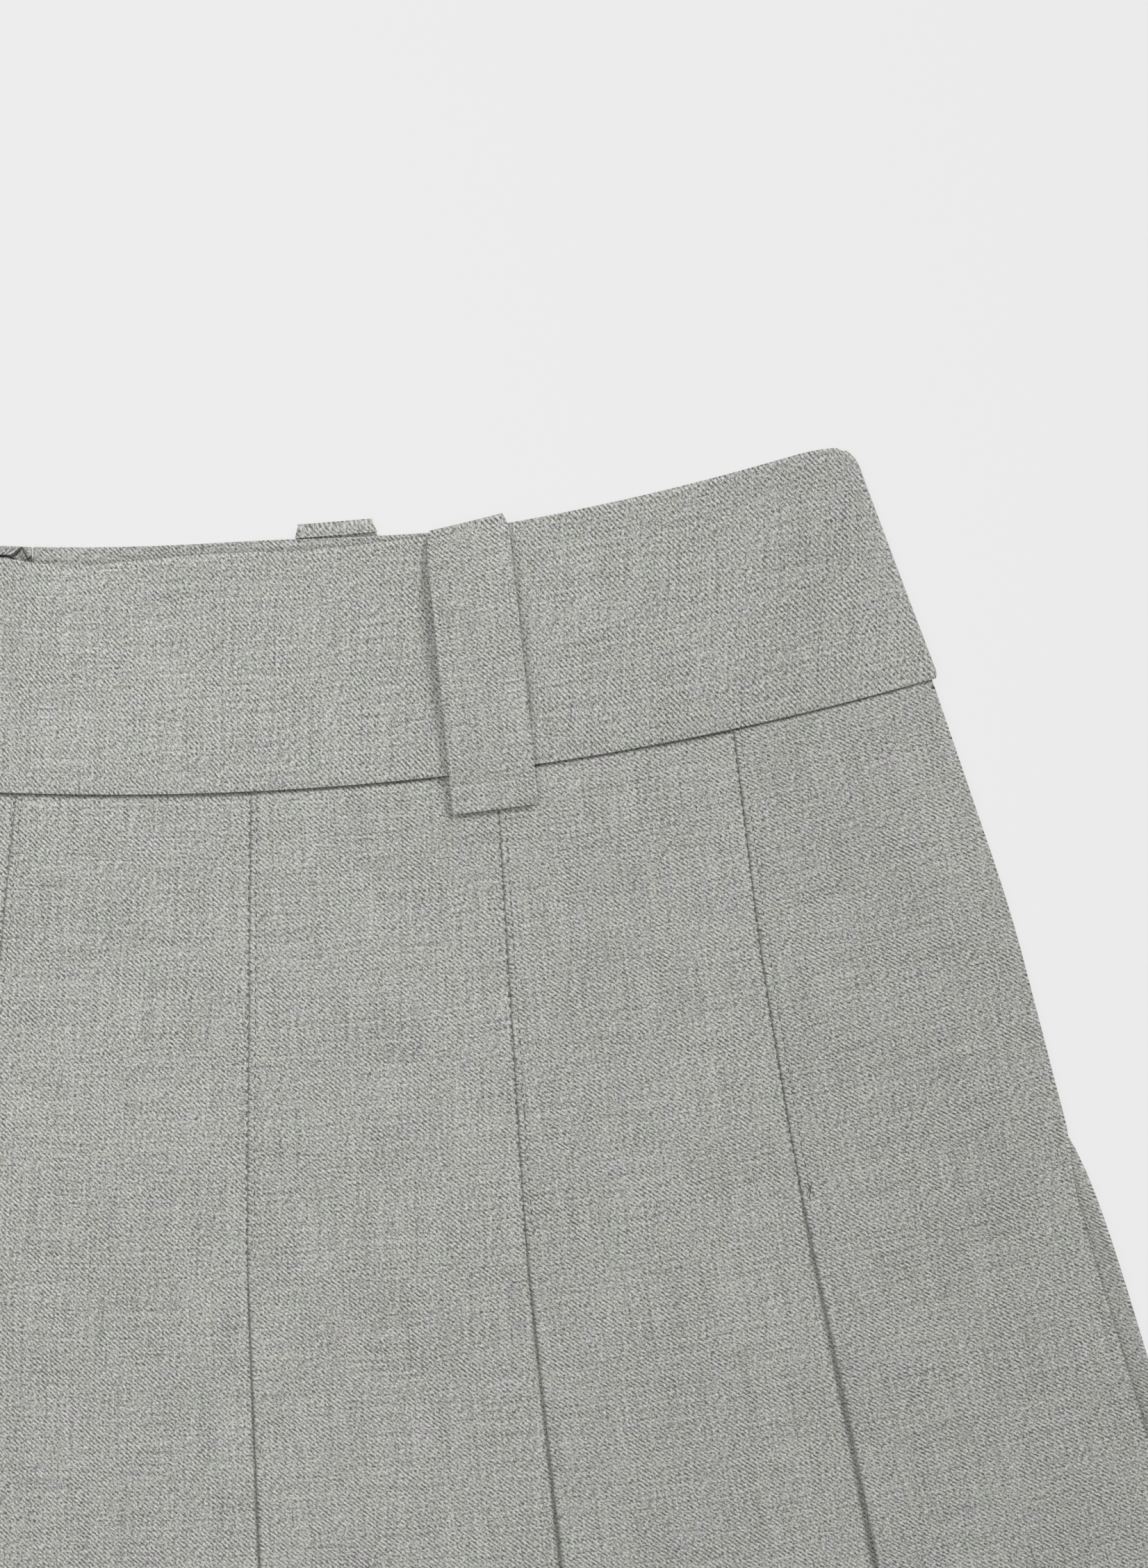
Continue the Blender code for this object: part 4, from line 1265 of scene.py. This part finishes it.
def tape_material(name):
    made, graph = new_material(name)
    place = graph.object_place()
    across, length = graph.split(place)
    ribs = (across * (2 * pi / 0.0009)).sine() * 0.5 + (length * (2 * pi / 0.0006)).sine() * 0.5
    shade = (0.5 + ribs * 0.2 + graph.noise(place, 1500.0, 1.0) * 0.5).clipped()
    mixed = graph.blend(shade, (0.17, 0.17, 0.165, 1.0), (0.36, 0.36, 0.35, 1.0))
    surface(graph, {"Base Color": mixed, "Roughness": 0.85}, ribs * 0.06, MM)
    return made


def metal_material(name):
    made, graph = new_material(name)
    rub = graph.noise(graph.object_place(), 1400.0, 2.0)
    mixed = graph.blend((0.5 + rub * 1.2).clipped(), (0.045, 0.045, 0.048, 1.0), (0.13, 0.13, 0.134, 1.0))
    rough = (0.36 + rub * 0.25).clipped(0.2, 0.6)
    surface(graph, {"Base Color": mixed, "Roughness": rough, "Metallic": 1.0}, rub * 0.02, MM)
    return made


def floor_material(name, white, share):
    """A pale sheet that looks the same all over and still takes a little soft shadow."""
    made, graph = new_material(name)
    glow = graph.node("ShaderNodeEmission", (), {"Color": (white, white, white, 1.0), "Strength": 1.0})
    matt = graph.node("ShaderNodeBsdfDiffuse", (), {"Color": (0.8, 0.8, 0.8, 1.0)})
    mixed = graph.node("ShaderNodeMixShader", (), {0: share, 1: glow.outputs[0], 2: matt.outputs[0]})
    graph.node("ShaderNodeOutputMaterial", (), {"Surface": mixed.outputs[0]})
    return made


def shared_material(name, make, *values):
    return bpy.data.materials.get(name) or make(name, *values)


def twill_cloth(part, angle):
    """The twill of the panels or the band, from its darkest to its lightest fibres."""
    colours = []
    for share in (1 - look().melange, 1 + look().melange):
        colours.append((*(level * share for level in look().cloth_colour), 1.0))
    return shared_material(f"Melange twill of the {part}", cloth_material, angle, *colours)


def panel_cloth():
    return twill_cloth("panels", look().weave_angle)


def band_cloth():
    return twill_cloth("band", look().band_weave_angle)


def metal():
    return shared_material("Dark nickel wire", metal_material)


TREE_INPUTS = {
    "Geometry": "Geometry",
    "Pitch": "Float",
    "Size": "Vector",
    "Sides": "Int",
    "Scatter": "Float",
    "Material": "Material",
}


def repeat_tree(name):
    """A node tree that sets one small body at even steps along each polyline."""
    tree = bpy.data.node_groups.new(name, "GeometryNodeTree")
    for label, socket in TREE_INPUTS.items():
        tree.interface.new_socket(label, in_out="INPUT", socket_type=f"NodeSocket{socket}")
    tree.interface.new_socket("Geometry", in_out="OUTPUT", socket_type="NodeSocketGeometry")
    graph = Graph(tree)
    given = graph.node("NodeGroupInput").outputs

    def step(kind, settings=(), **values):
        return graph.node(kind, settings, values).outputs[0]

    curve = step("GeometryNodeMeshToCurve", Mesh=given["Geometry"])
    points = step("GeometryNodeResampleCurve", {"mode": "LENGTH"}, Curve=curve, Length=given["Pitch"])
    body = step("GeometryNodeMeshUVSphere", Segments=given["Sides"], Rings=5, Radius=0.5)
    along = step("GeometryNodeInputTangent")
    turned = step("FunctionNodeAlignRotationToVector", {"axis": "Z"}, Vector=along)
    limits = {"Seed": 11}
    for index, sign in enumerate((-1, 1)):
        values = {0: (sign, sign, sign), "Scale": given["Scatter"]}
        limits[index] = graph.node("ShaderNodeVectorMath", {"operation": "SCALE"}, values).outputs[0]
    jitter = graph.node("FunctionNodeRandomValue", {"data_type": "FLOAT_VECTOR"}, limits).outputs[0]
    moved = step("GeometryNodeSetPosition", Geometry=points, Offset=jitter)
    values = {"Points": moved, "Instance": body, "Rotation": turned, "Scale": given["Size"]}
    placed = graph.node("GeometryNodeInstanceOnPoints", (), values).outputs[0]
    real = step("GeometryNodeRealizeInstances", Geometry=placed)
    painted = step("GeometryNodeSetMaterial", Geometry=real, Material=given["Material"])
    graph.node("NodeGroupOutput", (), {"Geometry": step("GeometryNodeSetShadeSmooth", Geometry=painted)})
    return tree


def repeated(name, lines, repeat, material):
    """The polylines sewn or coiled along, as a plain mesh."""
    made = new_object(name, polyline(name, lines))
    layout = made.modifiers.new("Layout", "NODES")
    layout.node_group = repeat_tree(f"{name} layout")
    given = {"Pitch": repeat.pitch * MM, "Scatter": repeat.scatter * MM, "Sides": repeat.sides}
    given["Size"] = [size * MM for size in repeat.size]
    given["Material"] = material
    for item in layout.node_group.interface.items_tree:
        if item.in_out == "INPUT" and item.name in given:
            layout[item.identifier] = given[item.name]
    return made_plain(made)


def number(name, description, default, **more):
    return bpy.props.FloatProperty(name=name, description=description, default=default, **more)


class SkirtClothSettings(bpy.types.PropertyGroup):
    """Thickness, weave and colour of the cloth."""

    thickness: number("Cloth thickness", "Thickness of one layer, in millimetres", 0.6)
    band_thickness: number("Band thickness", "Thickness of the doubled waistband, in millimetres", 1.0)
    loop_thickness: number("Back loop thickness", "Thickness of a back belt loop, in millimetres", 1.25)
    front_loop_thickness: number("Front loop thickness", "Thickness of a front loop, in millimetres", 1.5)
    creases: number("Creases", "How strong the soft creases of the laid cloth are", 1.0, min=0.0)
    melange: number("Melange", "How far light and dark fibres differ from the mean colour", 0.74, min=0.0)
    weave_angle: number("Panel weave", "Slope of the panels' twill lines", radians(42), subtype="ANGLE")
    band_weave_angle: number("Band weave", "Slope of its twill lines", radians(46), subtype="ANGLE")
    cloth_colour: bpy.props.FloatVectorProperty(
        name="Cloth colour",
        description="Mean colour of the melange cloth",
        default=(0.396, 0.400, 0.375),
        subtype="COLOR",
    )


class SkirtStageSettings(bpy.types.PropertyGroup):
    """Light, floor and camera."""

    key: number("Key light", "Strength of the soft sun", 1.55, min=0.0)
    fill: number("Fill light", "Power of the large soft light overhead", 1.75, unit="POWER")
    ambient: number("Ambient light", "Strength of the light from all round", 0.21, min=0.0)
    floor: number("Floor", "Brightness that the floor has of its own", 0.845, min=0.0)
    floor_share: number("Floor shadow", "Share of the floor that takes shadow", 0.1, subtype="FACTOR")
    distance: number("Camera height", "Distance of the camera over the table", 1.411, unit="LENGTH")


def skirt_piece(name, node, row_of):
    """One pleated piece, from just above the waist seam to the hem."""
    downs = [-TUCK_UP, 0.0] + list(FINE_ROWS) + spread(FINE_ROWS[-1], HEM_DROP - 1.5, COARSE)
    downs += [HEM_DROP - 0.7, HEM_DROP]
    rows = [row_of(down) for down in downs]
    lay_cloth(name, node, rows, downs, look().thickness, panel_cloth(), 0.12)


class SKIRT_OT_front(bpy.types.Operator):
    """Lay the pleated front of the skirt"""

    bl_idname = "skirt.front"
    bl_label = "Pleated front"

    def execute(self, context):
        skirt_piece("Pleated_front", "front_skirt", front_row)
        return {"FINISHED"}


class SKIRT_OT_back(bpy.types.Operator):
    """Lay the two pleated halves of the back"""

    bl_idname = "skirt.back"
    bl_label = "Pleated back"

    def execute(self, context):
        skirt_piece("Pleated_back_left", "back_skirt_left", back_row_left)
        skirt_piece("Pleated_back_right", "back_skirt_right", back_row_right)
        return {"FINISHED"}


def band_piece(name, rows):
    """One piece of the waistband, from rows at the shares of its height."""
    ups = [-share * BAND_HEIGHT_CENTRE for share in BAND_SHARES]
    lay_cloth(name, name.lower(), rows, ups, look().band_thickness, band_cloth(), 0.35)


class SKIRT_OT_band(bpy.types.Operator):
    """Lay the waistband: the front that wraps round the sides, and the two back halves"""

    bl_idname = "skirt.band"
    bl_label = "Waistband"

    def execute(self, context):
        band_piece("Waistband_front", [band_row(share) for share in BAND_SHARES])
        for hand, side in HANDS:
            band_piece(f"Waistband_back_{hand}", [back_band_row(side, share) for share in BAND_SHARES])
        return {"FINISHED"}


class SKIRT_OT_loops(bpy.types.Operator):
    """Lay the four belt loops, two on the front and two under the back"""

    bl_idname = "skirt.loops"
    bl_label = "Belt loops"

    def execute(self, context):
        for place, wall in (("front", look().front_loop_thickness), ("back", look().loop_thickness)):
            for hand, side in HANDS:
                rows = loop_rows(place == "front", side)
                ups = [row.down for row in rows]
                name = f"Belt_loop_{place}_{hand}"
                lay_cloth(name, name.lower(), rows, ups, wall, band_cloth(), 0.52)
        return {"FINISHED"}


class SKIRT_OT_stitches(bpy.types.Operator):
    """Sew the edge stitching beside every fold, with dark thread dots of painted shade at the foot of each
    front fold
    """

    bl_idname = "skirt.stitches"
    bl_label = "Edge stitching"

    def execute(self, context):
        thread = shared_material("Grey thread", thread_material, (0.15, 0.15, 0.145, 1.0))
        for name, lines, repeat in (
            # The front's stitching object also holds the dark dots of painted shade at the folds' feet
            ("Edge_stitching_and_fold_shade_front", front_stitch_and_fold_shade_lines(), STITCH),
            ("Edge_stitching_back", back_stitch_lines(), STITCH),
            ("Back_tack", tack_lines(), TACK),
        ):
            finish_piece(repeated(name, lines, repeat, thread), "melange_twill")
        return {"FINISHED"}


class SKIRT_OT_zip(bpy.types.Operator):
    """Set the concealed zip at centre back: tapes, coil, slider and pull tab"""

    bl_idname = "skirt.zip"
    bl_label = "Concealed zip"

    def execute(self, context):
        tape = new_object("Zip_tape", tape_mesh(), shared_material("Grey zip tape", tape_material))
        finish_piece(tape, "zip_tape", "zip_chain")
        lines = []
        for side in (-1, 1):
            downs = [mix(ZIP_BOTTOM - 2, -ZIP_TOP + 1, step / 80) for step in range(81)]
            lines.append([zip_point(side * 0.55, down, TAPE_THICKNESS + 0.35) for down in downs])
        thread = shared_material("Grey coil", thread_material, (0.30, 0.30, 0.29, 1.0))
        finish_piece(repeated("Zip_coil", lines, COIL, thread), "zip_tape")
        slider = new_object("Zip_slider", slider_mesh(), metal())
        edges = slider.modifiers.new("Rounded edges", "BEVEL")
        edges.width = 0.16 * MM
        edges.segments = 2
        finish_piece(made_plain(slider), "dark_nickel", "zip_slider")
        finish_piece(pull_object(metal()), "dark_nickel", "zip_pull", body=PULL_TAB)
        return {"FINISHED"}


class SKIRT_OT_hook(bpy.types.Operator):
    """Set the wire hook and eye inside the back band"""

    bl_idname = "skirt.hook"
    bl_label = "Hook and eye"

    def execute(self, context):
        for name, route in (("Hook", HOOK_ROUTE), ("Eye", EYE_ROUTE)):
            made = made_plain(new_object(name, wire_curve(name, route), metal()))
            finish_piece(made, "dark_nickel", name.lower())
        return {"FINISHED"}


# The stage, in metres, radians and millimetres of film
FLOOR_HALF = 2.0
SUN_ANGLE = radians(20)
SUN_TURN = (radians(-30), radians(40), 0.0)
WINDOW_SIZE = 0.5
WINDOW_PLACE = (-0.1, 0.16, 0.5)
LENS = 150.0
SENSOR = 36.0
CAMERA_PLACE = (0.1154, 0.1072)
CAMERA_TURN = 0.033


class SKIRT_OT_stage(bpy.types.Operator):
    """Lay the pale floor and set the soft lights and the camera"""

    bl_idname = "skirt.stage"
    bl_label = "Stage"

    def execute(self, context):
        scene = context.scene
        stage = scene.skirt_stage
        scene.view_settings.view_transform = "Standard"
        shape = bmesh.new()
        for x, y in ((-1, -1), (1, -1), (1, 1), (-1, 1)):
            shape.verts.new((x * FLOOR_HALF, y * FLOOR_HALF, FLOOR_LEVEL))
        shape.faces.new(shape.verts)
        pale = shared_material("Pale sheet", floor_material, stage.floor, stage.floor_share)
        new_object("Floor", finished_mesh(shape, "Floor"), pale)
        scene.world = bpy.data.worlds.new("Soft room")
        scene.world.use_nodes = True
        background = scene.world.node_tree.nodes["Background"].inputs
        background["Color"].default_value = (1.0, 1.0, 1.0, 1.0)
        background["Strength"].default_value = stage.ambient
        sun = bpy.data.lights.new("Soft sun", "SUN")
        sun.energy = stage.key
        sun.angle = SUN_ANGLE
        new_object("Soft sun", sun).rotation_euler = SUN_TURN
        window = bpy.data.lights.new("Overhead light", "AREA")
        window.energy = stage.fill
        window.size = WINDOW_SIZE
        new_object("Overhead light", window).location = WINDOW_PLACE
        camera = bpy.data.cameras.new("Camera")
        camera.lens = LENS
        camera.sensor_width = SENSOR
        scene.camera = new_object("Camera", camera)
        scene.camera.location = (*CAMERA_PLACE, stage.distance)
        scene.camera.rotation_euler.z = CAMERA_TURN
        return {"FINISHED"}


class VIEW3D_PT_skirt(bpy.types.Panel):
    """Lists the skirt's operators and settings"""

    bl_idname = "VIEW3D_PT_skirt"
    bl_label = "Pleated skirt"
    bl_space_type = "VIEW_3D"
    bl_region_type = "UI"
    bl_category = "Skirt"

    def draw(self, context):
        column = self.layout.column()
        for kind in OPERATORS:
            column.operator(kind.bl_idname)
        for settings in (context.scene.skirt_cloth, context.scene.skirt_stage):
            for name in settings.bl_rna.properties.keys():
                if name not in ("rna_type", "name"):
                    column.prop(settings, name)


OPERATORS = (
    SKIRT_OT_front,
    SKIRT_OT_back,
    SKIRT_OT_band,
    SKIRT_OT_loops,
    SKIRT_OT_stitches,
    SKIRT_OT_zip,
    SKIRT_OT_hook,
    SKIRT_OT_stage,
)
CLASSES = (SkirtClothSettings, SkirtStageSettings) + OPERATORS + (VIEW3D_PT_skirt,)


def register():
    for kind in CLASSES:
        bpy.utils.register_class(kind)
    bpy.types.Scene.skirt_cloth = bpy.props.PointerProperty(type=SkirtClothSettings)
    bpy.types.Scene.skirt_stage = bpy.props.PointerProperty(type=SkirtStageSettings)


def unregister():
    del bpy.types.Scene.skirt_stage
    del bpy.types.Scene.skirt_cloth
    for kind in reversed(CLASSES):
        bpy.utils.unregister_class(kind)


def main():
    register()
    for kind in OPERATORS:
        group, name = kind.bl_idname.split(".")
        getattr(getattr(bpy.ops, group), name)()
    bpy.context.view_layer.update()


if __name__ == "__main__":
    main()
